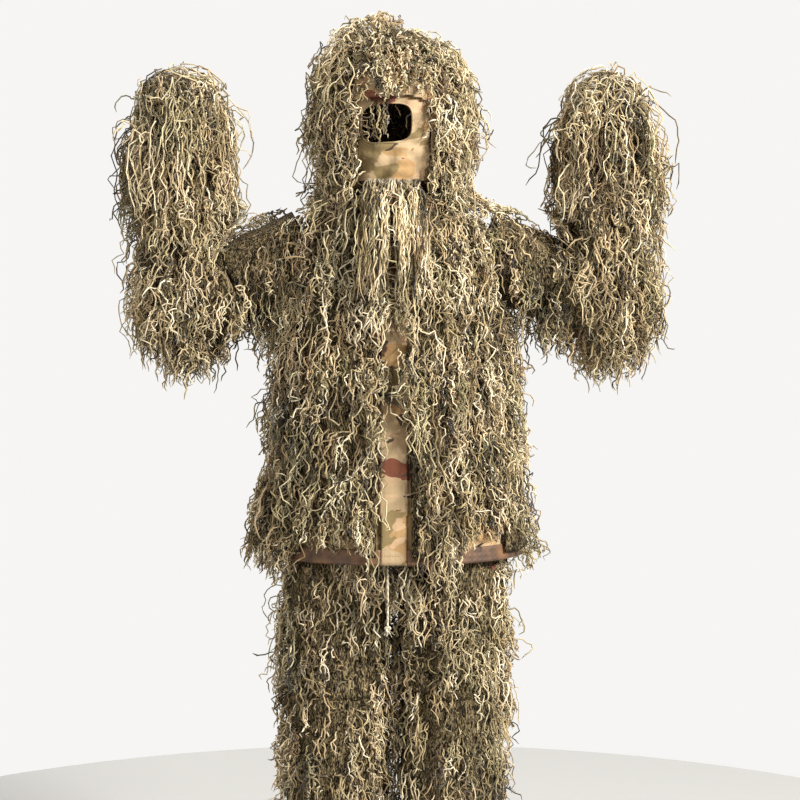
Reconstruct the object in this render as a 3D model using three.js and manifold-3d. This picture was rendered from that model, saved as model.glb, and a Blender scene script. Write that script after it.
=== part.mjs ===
// A ghillie suit: a hooded jacket and trousers of printed cloth, covered in long loose yarn.
// Millimetres, +Z up, the wearer faces -Y, and the wearer's left is +X.
// Heights are counted from the floor that the wearer stands on, and the finished suit is moved down so that
// its origin lies on the wearer's shoulder line.
import * as THREE from 'three';
import { mergeVertices } from 'three/addons/utils/BufferGeometryUtils.js';
import ManifoldModule from 'manifold-3d';

const wasm = await ManifoldModule();
wasm.setup();

// Cloth and seams
const CLOTH = 3;
const SEAM = 0.3;
const SEGMENTS = 16;
const LIMB_SEGMENTS = 12;
const BEYOND = 4;
const FAR = 3000;

// Jacket
const SHOULDER_HEIGHT = 1470;
const JACKET_LENGTH = 640;
const HEM_EASE = 9;
const WAIST_HALF_WIDTH = 211;
const CHEST_HALF_WIDTH = 185;
const DEPTH_SHARE = 0.7;
const JACKET_YARN = 45;
const HEM_BAND_HEIGHT = 30;
const PLACKET_HALF_WIDTH = 24;
const NECK_HALF_WIDTH = 105;
const NECK_HALF_DEPTH = 110;
const NECK_BACK_SHIFT = 12;
const COLLAR_HEIGHT = 34;
const COLLAR_RISE = 20;

// Press studs
const STUD_RADIUS = 7.5;
const STUD_THICKNESS = 2.5;
const STUD_DROPS = [330, 470];

// Hood and veil
const HOOD_HEIGHT = 290;
const HOOD_HALF_WIDTH = 124;
const HOOD_HALF_DEPTH = 137;
const HOOD_YARN = 45;
const FACE_HALF_WIDTH = 67;
const FACE_HEIGHT = 175;
const BROW_HEIGHT = 70;
const VEIL_LENGTH = 150;
const VEIL_CLEARANCE = 3;
const EYE_HALF_WIDTH = 48;
const EYE_HEIGHT = 62;
const EYE_DROP = 20;
const BEARD_LENGTH = 272;
const BEARD_THICKNESS = 26;

// Sleeves, held up as they are worn: the upper arm slopes down and out, the forearm stands upright
const UPPER_ARM_LENGTH = 224;
const UPPER_ARM_SLOPE = 24;
const SHOULDER_PIVOT_DROP = 90;
const SHOULDER_LOWER_LIMIT = 20;
const SHOULDER_RAISE_LIMIT = 10;
const SHOULDER_PLAY = 4;
const SLEEVE_RADIUS = 66;
const ELBOW_RADIUS = 60;
const CUFF_RADIUS = 48;
const CUFF_HEIGHT = 25;
const FOREARM_LENGTH = 270;
const ELBOW_FLEX_LIMIT = 5;
const ELBOW_SEAM_OFFSET = 8;
const UPPER_SLEEVE_YARN = 22;
const FOREARM_YARN = 62;
const HAND_FRINGE = 141;
const ELBOW_FRINGE = 128;
const ELBOW_FRINGE_HALF_WIDTH = 98;

// Trousers
const WAIST_HEIGHT = 1045;
const WAISTBAND_HEIGHT = 35;
const WAIST_RX = 162;
const WAIST_RY = 113;
const HIP_RX = 176;
const HIP_RY = 118;
const HIP_PIVOT_HEIGHT = 840;
const HIP_SEAM_DROP = 20;
const THIGH_DROP = 105;
const HIPS_YARN_TOP = 900;
const KNEE_HEIGHT = 500;
const KNEE_LIMIT = 60;
const ANKLE_HEIGHT = 60;
const LEG_HEM_HEIGHT = 30;
const THIGH_RADIUS = 76;
const SHIN_RADIUS = 64;
const LEG_YARN = 34;
const LEG_SPLIT = 5;

// Drawstring
const CORD_RADIUS = 2;
const KNOT_RADIUS = 6;
const CORD_SIDE_SHIFT = -11;
const CORD_END_HEIGHT = 712;

// Heights and places that follow from the sizes above
const HEM = SHOULDER_HEIGHT - JACKET_LENGTH;
const COLLAR_TOP = SHOULDER_HEIGHT + COLLAR_RISE;
const HOOD_BOTTOM = COLLAR_TOP + SEAM;
const HOOD_TOP = HOOD_BOTTOM + HOOD_HEIGHT;
const BROW_EDGE = HOOD_BOTTOM + FACE_HEIGHT;
const VEIL_TOP = BROW_EDGE - SEAM;
const CHIN = VEIL_TOP - VEIL_LENGTH;
const SHOULDER_PIVOT = new THREE.Vector3(CHEST_HALF_WIDTH, 0, SHOULDER_HEIGHT - SHOULDER_PIVOT_DROP);
const SLOPE = THREE.MathUtils.degToRad(UPPER_ARM_SLOPE);
const UPPER_ARM_AXIS = new THREE.Vector3(Math.cos(SLOPE), 0, -Math.sin(SLOPE));
const ELBOW = SHOULDER_PIVOT.clone().addScaledVector(UPPER_ARM_AXIS, UPPER_ARM_LENGTH);
const CUFF_TOP = ELBOW.z + FOREARM_LENGTH;
const LEG_OUTER = THIGH_RADIUS + LEG_YARN;
const LEG_CENTRE = LEG_OUTER + LEG_SPLIT;
const HEM_HALF_WIDTH = LEG_CENTRE + LEG_OUTER + HEM_EASE;
const KNEE_HALF_GAP = LEG_OUTER * Math.tan(THREE.MathUtils.degToRad(KNEE_LIMIT / 2)) + 3;
const HIP_SEAM = HIP_PIVOT_HEIGHT - HIP_SEAM_DROP;
const THIGH_TOP = HIP_PIVOT_HEIGHT - THIGH_DROP;
const THIGH_BOTTOM = KNEE_HEIGHT + KNEE_HALF_GAP;
const SHIN_TOP = KNEE_HEIGHT - KNEE_HALF_GAP;
const SHIN_BOTTOM = ANKLE_HEIGHT + LEG_HEM_HEIGHT;

const SIDES = [['left', 1], ['right', -1]];
const suit = new THREE.Group();
suit.position.z = -SHOULDER_HEIGHT;

// ---------------------------------------------------------------- materials

function fabric(color, roughness) {
  return new THREE.MeshStandardMaterial({ color, roughness, metalness: 0 });
}

const printedCloth = fabric(0xb39a72, 0.9);
const yarnFabric = fabric(0x8d8360, 1);
const hemTape = fabric(0x7b4a30, 0.85);
const elasticBand = fabric(0x5d553f, 0.8);
const cordFabric = fabric(0xd9cfb2, 0.8);
const studMetal = new THREE.MeshStandardMaterial({ color: 0x8a7a4e, roughness: 0.4, metalness: 0.8 });

// ---------------------------------------------------------------- solids

function solidFrom(geometry) {
  geometry.deleteAttribute('uv');
  geometry.deleteAttribute('normal');
  const merged = mergeVertices(geometry, 1e-4);
  const vertProperties = new Float32Array(merged.attributes.position.array);
  const triVerts = new Uint32Array(merged.index.array);
  return new wasm.Manifold(new wasm.Mesh({ numProp: 3, vertProperties, triVerts }));
}

function addPiece(name, solid, material) {
  const { vertProperties, triVerts } = solid.getMesh();
  const geometry = new THREE.BufferGeometry();
  geometry.setAttribute('position', new THREE.BufferAttribute(vertProperties, 3));
  geometry.setIndex(new THREE.BufferAttribute(triVerts, 1));
  geometry.computeVertexNormals();
  const piece = new THREE.Mesh(geometry, material);
  piece.name = name;
  suit.add(piece);
}

// A solid through a stack of ellipses, each {z, rx, ry, x, y}, from the lowest to the highest.
// Sleeves and legs are marked as limbs and have fewer sides.
function stack(levels, grow = 0, matrix = null) {
  const around = levels[0].limb ? LIMB_SEGMENTS : SEGMENTS;
  const geometry = new THREE.CylinderGeometry(1, 1, 1, around, levels.length - 1);
  geometry.rotateX(Math.PI / 2);
  const position = geometry.attributes.position;
  for (let i = 0; i < position.count; i += 1) {
    const level = levels[Math.round((position.getZ(i) + 0.5) * (levels.length - 1))];
    const x = (level.x ?? 0) + position.getX(i) * (level.rx + grow);
    const y = (level.y ?? 0) + position.getY(i) * (level.ry + grow);
    position.setXYZ(i, x, y, level.z);
  }
  if (matrix) geometry.applyMatrix4(matrix);
  return solidFrom(geometry);
}

// The same stack carried straight on past both ends, for cutting a hollow right through
function through(levels, by = BEYOND) {
  const first = { ...levels[0], z: levels[0].z - by };
  const last = { ...levels.at(-1), z: levels.at(-1).z + by };
  return [first, ...levels, last];
}

// The wall between two offsets of one stack, open at both ends
function tube(levels, inner, outer, matrix = null) {
  return stack(levels, outer, matrix).subtract(stack(through(levels), inner, matrix));
}

function box(x0, x1, y0, y1, z0, z1) {
  const geometry = new THREE.BoxGeometry(x1 - x0, y1 - y0, z1 - z0);
  geometry.translate((x0 + x1) / 2, (y0 + y1) / 2, (z0 + z1) / 2);
  return solidFrom(geometry);
}

// Keeps what lies on the side of the plane that its normal points to
function cutAt(solid, point, normal, offset = 0) {
  return solid.trimByPlane(normal.toArray(), point.dot(normal) + offset);
}

function above(solid, z) {
  return solid.trimByPlane([0, 0, 1], z);
}

function below(solid, z) {
  return solid.trimByPlane([0, 0, -1], -z);
}

function keepSide(solid, side, x) {
  return solid.trimByPlane([side, 0, 0], x);
}

function backHalf(solid) {
  return solid.trimByPlane([0, 1, 0], SEAM / 2);
}

function frontHalf(solid) {
  return solid.trimByPlane([0, -1, 0], SEAM / 2);
}

// The half-size of a stack at one height, along X ("rx") or Y ("ry")
function sizeAt(levels, z, key) {
  const next = levels.findIndex((level) => level.z >= z);
  if (next <= 0) return levels.at(next)[key];
  const [low, high] = [levels[next - 1], levels[next]];
  return THREE.MathUtils.mapLinear(z, low.z, high.z, low[key], high[key]);
}

// ---------------------------------------------------------------- outlines

function torsoLevel(z, halfWidth, depthShare = DEPTH_SHARE) {
  return { z, rx: halfWidth, ry: halfWidth * depthShare };
}

const jacketLevels = [
  torsoLevel(HEM, HEM_HALF_WIDTH),
  torsoLevel(HEM + 0.27 * JACKET_LENGTH, WAIST_HALF_WIDTH),
  torsoLevel(HEM + 0.62 * JACKET_LENGTH, (WAIST_HALF_WIDTH + 2 * CHEST_HALF_WIDTH) / 3),
  torsoLevel(SHOULDER_HEIGHT - 110, CHEST_HALF_WIDTH),
  torsoLevel(SHOULDER_HEIGHT - 40, CHEST_HALF_WIDTH - 20),
  { z: SHOULDER_HEIGHT, rx: NECK_HALF_WIDTH + 14, ry: NECK_HALF_DEPTH + 2, y: NECK_BACK_SHIFT / 2 },
];

const collarLevels = [
  { z: COLLAR_TOP - COLLAR_HEIGHT, rx: NECK_HALF_WIDTH, ry: NECK_HALF_DEPTH, y: NECK_BACK_SHIFT },
  { z: COLLAR_TOP, rx: NECK_HALF_WIDTH, ry: NECK_HALF_DEPTH, y: NECK_BACK_SHIFT },
];

function hoodLevel(share, width, depth, grow) {
  const rise = Math.max(0, share - 0.5) * 2 * grow;
  return {
    z: HOOD_BOTTOM + share * HOOD_HEIGHT + rise,
    rx: width * HOOD_HALF_WIDTH + grow,
    ry: depth * HOOD_HALF_DEPTH + grow,
    y: NECK_BACK_SHIFT + 4 * share,
  };
}

// The hood's outline, grown outwards and upwards alike
function hoodLevels(grow) {
  return [
    { z: HOOD_BOTTOM, rx: NECK_HALF_WIDTH + grow, ry: NECK_HALF_DEPTH + grow, y: NECK_BACK_SHIFT },
    hoodLevel(0.24, 0.95, 0.93, grow),
    hoodLevel(0.5, 1, 1, grow),
    hoodLevel(0.72, 0.94, 0.94, grow),
    hoodLevel(0.88, 0.72, 0.74, grow),
    hoodLevel(0.97, 0.4, 0.42, grow),
    hoodLevel(1, 0.06, 0.06, grow),
  ];
}

function hoodSolid(grow) {
  return stack(hoodLevels(grow));
}

// Open at the neck: only the bottom of the inner solid is moved out
function hoodWall(inner, outer) {
  const levels = hoodLevels(inner);
  const neck = { ...levels[0], z: HOOD_BOTTOM - BEYOND };
  return hoodSolid(outer).subtract(stack([neck, ...levels]));
}

function limbLevel(x, z, radius, depth = radius) {
  return { z, x, rx: radius, ry: depth, limb: true };
}

function upperArmMatrix(side) {
  const matrix = new THREE.Matrix4().makeRotationY(side * (Math.PI / 2 + SLOPE));
  return matrix.setPosition(side * SHOULDER_PIVOT.x, 0, SHOULDER_PIVOT.z);
}

// The upper arm's outline along its own axis, from inside the armhole to past the elbow
const upperArmLevels = [
  limbLevel(0, -CHEST_HALF_WIDTH / 2, SLEEVE_RADIUS),
  limbLevel(0, 0, SLEEVE_RADIUS),
  limbLevel(0, UPPER_ARM_LENGTH, ELBOW_RADIUS),
];

function forearmLevels(side) {
  const x = side * ELBOW.x;
  return [limbLevel(x, ELBOW.z, ELBOW_RADIUS), limbLevel(x, CUFF_TOP - CUFF_HEIGHT, CUFF_RADIUS)];
}

function legLevels(side, z0, r0, z1, r1) {
  const x = side * LEG_CENTRE;
  return [limbLevel(x, z0, r0), limbLevel(x, z1, r1)];
}

function legRadiusAt(z) {
  return THREE.MathUtils.mapLinear(z, ANKLE_HEIGHT, THIGH_TOP, SHIN_RADIUS, THIGH_RADIUS);
}

// ---------------------------------------------------------------- jacket

function armholeCutter(grow) {
  const cutters = SIDES.map(([, side]) => stack(upperArmLevels, grow, upperArmMatrix(side)));
  return cutters[0].add(cutters[1]);
}

function jacketWall(inner, outer) {
  const collar = stack(through(collarLevels), SEAM);
  return tube(jacketLevels, inner, outer).subtract(collar).subtract(armholeCutter(SEAM));
}

function addJacketCloth() {
  const cloth = jacketWall(-CLOTH, 0);
  addPiece('jacket_back', backHalf(cloth), printedCloth);
  for (const [name, side] of SIDES) {
    addPiece(`jacket_front_${name}`, keepSide(frontHalf(cloth), side, SEAM / 2), printedCloth);
  }
  addPiece('collar_band', tube(collarLevels, -CLOTH, 0), printedCloth);
}

function addJacketYarn() {
  const yarn = above(jacketWall(SEAM, JACKET_YARN), HEM + HEM_BAND_HEIGHT + SEAM);
  addPiece('jacket_back_yarn', backHalf(yarn), yarnFabric);
  for (const [name, side] of SIDES) {
    const half = keepSide(frontHalf(yarn), side, PLACKET_HALF_WIDTH + SEAM);
    addPiece(`jacket_front_yarn_${name}`, half, yarnFabric);
  }
}

function addHemBands() {
  const band = below(tube(jacketLevels, SEAM, SEAM + CLOTH), HEM + HEM_BAND_HEIGHT);
  addPiece('hem_band_back', backHalf(band), hemTape);
  for (const [name, side] of SIDES) {
    const half = keepSide(frontHalf(band), side, PLACKET_HALF_WIDTH + SEAM);
    addPiece(`hem_band_${name}`, half, hemTape);
  }
}

// The left front laps over the right one, so its placket lies outside and the right one's inside
function addPlackets() {
  const strip = box(-PLACKET_HALF_WIDTH, PLACKET_HALF_WIDTH, -FAR, 0, HEM, COLLAR_TOP - COLLAR_HEIGHT - SEAM);
  addPiece('placket_left', tube(jacketLevels, SEAM, SEAM + CLOTH).intersect(strip), printedCloth);
  const inside = tube(jacketLevels, -2 * CLOTH - SEAM, -CLOTH - SEAM);
  addPiece('placket_right', inside.intersect(strip), printedCloth);
}

function studDisc(z, y0, y1) {
  const geometry = new THREE.CylinderGeometry(STUD_RADIUS, STUD_RADIUS, y1 - y0, 12);
  geometry.translate(0, (y0 + y1) / 2, z);
  return solidFrom(geometry);
}

// Each press stud is a cap on the outer placket and a socket on the inner one
function addPressStuds() {
  STUD_DROPS.forEach((drop, index) => {
    const z = SHOULDER_HEIGHT - drop;
    const front = -sizeAt(jacketLevels, z, 'ry');
    const outside = stack(jacketLevels, 2 * SEAM + CLOTH);
    const inside = stack(through(jacketLevels), -2 * CLOTH - 2 * SEAM);
    const capFace = front - CLOTH - 2 * SEAM;
    const socketFace = front + 2 * CLOTH + 2 * SEAM;
    const cap = studDisc(z, capFace - STUD_THICKNESS, capFace + STUD_THICKNESS).subtract(outside);
    const socket = studDisc(z, socketFace - STUD_THICKNESS, socketFace + STUD_THICKNESS).intersect(inside);
    addPiece(`press_stud_cap_${index + 1}`, cap, studMetal);
    addPiece(`press_stud_socket_${index + 1}`, socket, studMetal);
  });
}

// ---------------------------------------------------------------- hood and veil

function faceOpening(halfWidth, top) {
  return box(-halfWidth, halfWidth, -FAR, 0, HOOD_BOTTOM - BEYOND, top);
}

function addHood() {
  const yarnTop = BROW_EDGE + BROW_HEIGHT;
  const browHalfWidth = FACE_HALF_WIDTH - SEAM;
  const brow = box(-browHalfWidth, browHalfWidth, -FAR, 0, BROW_EDGE, yarnTop - SEAM);
  const shell = hoodWall(-CLOTH, 0).subtract(faceOpening(FACE_HALF_WIDTH, BROW_EDGE));
  const yarn = hoodWall(SEAM, HOOD_YARN).subtract(faceOpening(FACE_HALF_WIDTH, yarnTop));
  addPiece('hood_shell', shell, printedCloth);
  addPiece('hood_yarn', yarn, yarnFabric);
  addPiece('brow_band', hoodWall(SEAM, SEAM + CLOTH).intersect(brow), printedCloth);
}

function addVeil() {
  const halfWidth = FACE_HALF_WIDTH - VEIL_CLEARANCE;
  const eyeTop = VEIL_TOP - EYE_DROP;
  const eyes = box(-EYE_HALF_WIDTH, EYE_HALF_WIDTH, -FAR, 0, eyeTop - EYE_HEIGHT, eyeTop);
  const panel = hoodWall(-CLOTH, 0).intersect(box(-halfWidth, halfWidth, -FAR, 0, CHIN, VEIL_TOP));
  addPiece('face_veil', panel.subtract(eyes), printedCloth);
}

// Long strands sewn to the veil's chin seam, lying on the yarn of the chest
function addBeard() {
  const half = BEARD_THICKNESS / 2;
  const width = FACE_HALF_WIDTH - VEIL_CLEARANCE;
  const chest = (z) => -sizeAt(jacketLevels, z, 'ry') - JACKET_YARN - half;
  const chinFront = sizeAt(hoodLevels(0), CHIN, 'ry') - NECK_BACK_SHIFT;
  const end = CHIN - BEARD_LENGTH;
  const middle = SHOULDER_HEIGHT - 100;
  const levels = [
    { z: end, rx: 0.65 * width, ry: 0.6 * half, y: chest(end) },
    { z: middle, rx: width, ry: half, y: chest(middle) },
    { z: SHOULDER_HEIGHT - 10, rx: 0.95 * width, ry: half, y: chest(SHOULDER_HEIGHT - 40) },
    { z: CHIN - SEAM, rx: 0.8 * width, ry: half, y: -chinFront },
  ];
  const chestYarn = stack(through(jacketLevels, 2), JACKET_YARN + 1);
  const collar = stack(through(collarLevels), BEYOND);
  addPiece('beard_yarn', stack(levels).subtract(chestYarn).subtract(collar), yarnFabric);
}

// ---------------------------------------------------------------- sleeves

function bigBox() {
  return box(-FAR, FAR, -FAR, FAR, -FAR, FAR);
}

function turnedInXZ(vector, degrees) {
  return vector.clone().applyAxisAngle(new THREE.Vector3(0, 1, 0), THREE.MathUtils.degToRad(degrees));
}

function onSide(vector, side) {
  return new THREE.Vector3(side * vector.x, vector.y, vector.z);
}

// The space that turns with the upper arm, clear of the jacket at both ends of the shoulder's travel
function armWedge(side, grow) {
  const apex = onSide(new THREE.Vector3(SHOULDER_PIVOT.x + JACKET_YARN + 12, 0, SHOULDER_PIVOT.z), side);
  const out = new THREE.Vector3(1, 0, 0);
  const lower = onSide(turnedInXZ(out, -SHOULDER_LOWER_LIMIT - SHOULDER_PLAY), side);
  const upper = onSide(turnedInXZ(out, SHOULDER_RAISE_LIMIT + SHOULDER_PLAY), side);
  return cutAt(cutAt(bigBox(), apex, lower, -grow), apex, upper, -grow);
}

// The plane that halves the elbow, as its normal towards the forearm
function elbowNormal() {
  const up = new THREE.Vector3(0, 0, 1);
  const bisector = up.clone().sub(UPPER_ARM_AXIS).normalize();
  return turnedInXZ(bisector, 90);
}

// The spaces on each side of the elbow, clear of each other from full bend to a straight arm
function forearmSpace(side, grow) {
  const elbow = onSide(ELBOW, side);
  const mitre = onSide(turnedInXZ(elbowNormal(), ELBOW_FLEX_LIMIT / 2 + 1), side);
  const lifted = cutAt(bigBox(), elbow, new THREE.Vector3(0, 0, 1), ELBOW_SEAM_OFFSET - grow);
  return cutAt(lifted, elbow, mitre, ELBOW_SEAM_OFFSET - grow);
}

function upperArmSpace(side, grow) {
  const elbow = onSide(ELBOW, side);
  const mitre = onSide(turnedInXZ(elbowNormal(), -ELBOW_FLEX_LIMIT / 2 - 1).negate(), side);
  const back = onSide(UPPER_ARM_AXIS.clone().negate(), side);
  const cut = cutAt(bigBox(), elbow, back, ELBOW_SEAM_OFFSET - grow);
  return cutAt(cut, elbow, mitre, ELBOW_SEAM_OFFSET - grow);
}

// The sleeve as one bent solid: upper arm, elbow ball and forearm
function armSolid(side, grow) {
  const ball = new THREE.SphereGeometry(ELBOW_RADIUS + grow, LIMB_SEGMENTS, LIMB_SEGMENTS / 2);
  ball.translate(side * ELBOW.x, 0, ELBOW.z);
  const upper = stack(upperArmLevels, grow, upperArmMatrix(side));
  return upper.add(solidFrom(ball)).add(stack(forearmLevels(side), grow));
}

// The yarn that hangs under the elbow and the end of the upper arm
function elbowFringe(side) {
  const x = side * ELBOW.x;
  const bottom = ELBOW.z - ELBOW_FRINGE;
  const wide = ELBOW_FRINGE_HALF_WIDTH;
  return stack([
    limbLevel(x, bottom, 0.9 * wide, 0.6 * wide),
    limbLevel(x, bottom + 60, wide, 0.75 * wide),
    limbLevel(x, ELBOW.z, wide, 0.8 * wide),
    limbLevel(x, ELBOW.z + 40, 0.85 * wide, 0.75 * wide),
  ]);
}

function forearmYarnLevels(side) {
  const x = side * ELBOW.x;
  const round = (z, r) => limbLevel(x, z, r, 0.95 * r);
  const widest = ELBOW_RADIUS + FOREARM_YARN;
  return [
    round(ELBOW.z, 0.92 * widest),
    round(ELBOW.z + 0.7 * FOREARM_LENGTH, widest),
    round(CUFF_TOP + 0.3 * HAND_FRINGE, 0.97 * widest),
    round(CUFF_TOP + 0.75 * HAND_FRINGE, 0.86 * widest),
    round(CUFF_TOP + HAND_FRINGE, 0.66 * widest),
  ];
}

function addForearm(name, side) {
  const space = forearmSpace(side, 0);
  const hand = { ...forearmLevels(side)[1], z: CUFF_TOP + HAND_FRINGE };
  const hollow = stack(through([...forearmLevels(side), hand]), SEAM);
  const cuffLevels = [
    { ...hand, z: CUFF_TOP - CUFF_HEIGHT + SEAM },
    { ...hand, z: CUFF_TOP },
  ];
  addPiece(`forearm_sleeve_${name}`, tube(forearmLevels(side), -CLOTH, 0).intersect(space), printedCloth);
  const yarn = stack(forearmYarnLevels(side)).subtract(hollow).intersect(space);
  addPiece(`forearm_yarn_${name}`, yarn, yarnFabric);
  addPiece(`cuff_${name}`, tube(cuffLevels, -CLOTH, 0), elasticBand);
}

function addUpperArm(name, side) {
  const matrix = upperArmMatrix(side);
  const space = upperArmSpace(side, 0).intersect(armWedge(side, 0));
  const sleeve = tube(upperArmLevels, -CLOTH, 0, matrix);
  const yarn = stack(upperArmLevels, UPPER_SLEEVE_YARN, matrix).add(elbowFringe(side));
  const filled = stack(through(upperArmLevels), SEAM, matrix);
  const armhole = stack(through(jacketLevels), -4 * CLOTH);
  const gusset = sleeve.subtract(armhole).subtract(armWedge(side, SEAM));
  addPiece(`shoulder_gusset_${name}`, gusset, printedCloth);
  addPiece(`upper_sleeve_${name}`, sleeve.intersect(space), printedCloth);
  addPiece(`upper_sleeve_yarn_${name}`, yarn.subtract(filled).intersect(space), yarnFabric);
}

function addElbow(name, side) {
  const taken = forearmSpace(side, SEAM).add(upperArmSpace(side, SEAM));
  const panel = armSolid(side, 0).subtract(armSolid(side, -CLOTH)).subtract(taken);
  const yarn = elbowFringe(side).subtract(armSolid(side, SEAM)).subtract(taken);
  addPiece(`elbow_gusset_${name}`, panel, printedCloth);
  addPiece(`elbow_yarn_${name}`, yarn, yarnFabric);
}

// ---------------------------------------------------------------- trousers

const hipLevels = [
  { z: HIP_SEAM, rx: HIP_RX, ry: HIP_RY },
  { z: (HIP_SEAM + WAIST_HEIGHT) / 2, rx: (HIP_RX + WAIST_RX) / 2, ry: (HIP_RY + WAIST_RY) / 2 },
  { z: WAIST_HEIGHT - WAISTBAND_HEIGHT, rx: WAIST_RX, ry: WAIST_RY },
];

// One leg of the seat: from half of the hips' outline down to the round of the thigh
function seatSolid(side, grow, beyond = 0) {
  const hipEnd = HIP_SEAM - SEAM;
  const thighEnd = THIGH_TOP + SEAM;
  const top = stack([{ ...hipLevels[0], z: hipEnd - 1 }, { ...hipLevels[0], z: hipEnd }], grow);
  const half = keepSide(top, side, SEAM / 2 - grow);
  const thigh = stack(legLevels(side, thighEnd, THIGH_RADIUS, thighEnd + 1, THIGH_RADIUS), grow);
  const seat = wasm.Manifold.hull([half, thigh]);
  if (!beyond) return seat;
  const pastHips = wasm.Manifold.hull([half, half.translate(0, 0, beyond)]);
  const pastThigh = wasm.Manifold.hull([thigh, thigh.translate(0, 0, -beyond)]);
  return seat.add(pastHips).add(pastThigh);
}

function addHips() {
  const bandLevels = [
    { ...hipLevels.at(-1), z: WAIST_HEIGHT - WAISTBAND_HEIGHT + SEAM },
    { ...hipLevels.at(-1), z: WAIST_HEIGHT },
  ];
  const yarnLevels = [
    { z: THIGH_TOP + SEAM, rx: LEG_CENTRE + LEG_OUTER - 4, ry: LEG_OUTER + 6 },
    { z: HIP_SEAM - 20, rx: HIP_RX + LEG_YARN + 2, ry: HIP_RY + 20 },
    { z: HIP_SEAM + 30, rx: HIP_RX + 26, ry: HIP_RY + 14 },
    { z: HIPS_YARN_TOP, rx: HIP_RX + 14, ry: HIP_RY + 7 },
  ];
  const split = box(-LEG_SPLIT, LEG_SPLIT, -FAR, FAR, THIGH_TOP - BEYOND, HIP_SEAM - 20);
  const seats = seatSolid(1, SEAM, BEYOND).add(seatSolid(-1, SEAM, BEYOND));
  const covered = stack(through(hipLevels), SEAM).add(seats);
  addPiece('hips_cloth', tube(hipLevels, -CLOTH, 0), printedCloth);
  addPiece('waistband', tube(bandLevels, -CLOTH, 0), elasticBand);
  addPiece('hips_yarn', stack(yarnLevels).subtract(covered).subtract(split), yarnFabric);
}

// One stretch of a leg: its cloth tube and the yarn around it
function addLegStretch(clothName, yarnName, side, low, high) {
  const levels = legLevels(side, low, legRadiusAt(low), high, legRadiusAt(high));
  const yarnLevels = legLevels(side, low, LEG_OUTER, high, LEG_OUTER);
  addPiece(clothName, tube(levels, -CLOTH, 0), printedCloth);
  addPiece(yarnName, stack(yarnLevels).subtract(stack(through(levels), SEAM)), yarnFabric);
}

function addLeg(name, side) {
  const hemTop = SHIN_BOTTOM - SEAM;
  const hemLevels = legLevels(side, ANKLE_HEIGHT, legRadiusAt(ANKLE_HEIGHT), hemTop, legRadiusAt(hemTop));
  const seat = seatSolid(side, 0).subtract(seatSolid(side, -CLOTH, BEYOND));
  addPiece(`hip_gusset_${name}`, seat, printedCloth);
  addLegStretch(`thigh_cloth_${name}`, `thigh_yarn_${name}`, side, THIGH_BOTTOM, THIGH_TOP);
  addLegStretch(`knee_gusset_${name}`, `knee_yarn_${name}`, side, SHIN_TOP + SEAM, THIGH_BOTTOM - SEAM);
  addLegStretch(`shin_cloth_${name}`, `shin_yarn_${name}`, side, SHIN_BOTTOM, SHIN_TOP);
  addPiece(`leg_hem_${name}`, tube(hemLevels, -CLOTH, 0), elasticBand);
}

// Where the waistband's faceted front lies at one place across it
function waistbandFront(x) {
  const step = (2 * Math.PI) / SEGMENTS;
  const share = Math.abs(x) / (WAIST_RX * Math.sin(step));
  return -THREE.MathUtils.lerp(WAIST_RY, WAIST_RY * Math.cos(step), share);
}

// The one end of the waist cord that hangs in front, with a knot at its end
function addDrawstring() {
  const exit = waistbandFront(CORD_SIDE_SHIFT) - SEAM;
  const exitHeight = WAIST_HEIGHT - WAISTBAND_HEIGHT / 2;
  const route = [
    [exit, exitHeight],
    [exit - 4, exitHeight],
    [exit - 10, exitHeight - 14],
    [-128, 975],
    [-136, 900],
    [-142, 840],
    [-145, 780],
    [-145, CORD_END_HEIGHT + KNOT_RADIUS + SEAM],
  ];
  const points = route.map(([y, z]) => new THREE.Vector3(CORD_SIDE_SHIFT, y, z));
  const section = new THREE.Shape();
  section.absarc(0, 0, CORD_RADIUS, 0, 2 * Math.PI);
  const extrudePath = new THREE.CatmullRomCurve3(points);
  const cord = new THREE.ExtrudeGeometry(section, { steps: 16, curveSegments: 4, extrudePath });
  const knot = new THREE.SphereGeometry(KNOT_RADIUS, 8, 6);
  knot.translate(CORD_SIDE_SHIFT, -145, CORD_END_HEIGHT);
  addPiece('drawstring', solidFrom(cord), cordFabric);
  addPiece('drawstring_knot', solidFrom(knot), cordFabric);
}

addJacketCloth();
addJacketYarn();
addHemBands();
addPlackets();
addPressStuds();
addHood();
addVeil();
addBeard();
for (const [name, side] of SIDES) {
  addUpperArm(name, side);
  addElbow(name, side);
  addForearm(name, side);
}
addHips();
for (const [name, side] of SIDES) addLeg(name, side);
addDrawstring();

const group = new THREE.Group();
group.add(suit);
export default group;
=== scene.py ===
"""Ghillie suit: cloth, yarn, cord and stage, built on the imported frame."""
import math

import bmesh
import bpy
import numpy as np
from bpy.props import FloatProperty, FloatVectorProperty, IntProperty, PointerProperty
from mathutils import Matrix, Vector, noise
from mathutils.bvhtree import BVHTree


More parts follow.
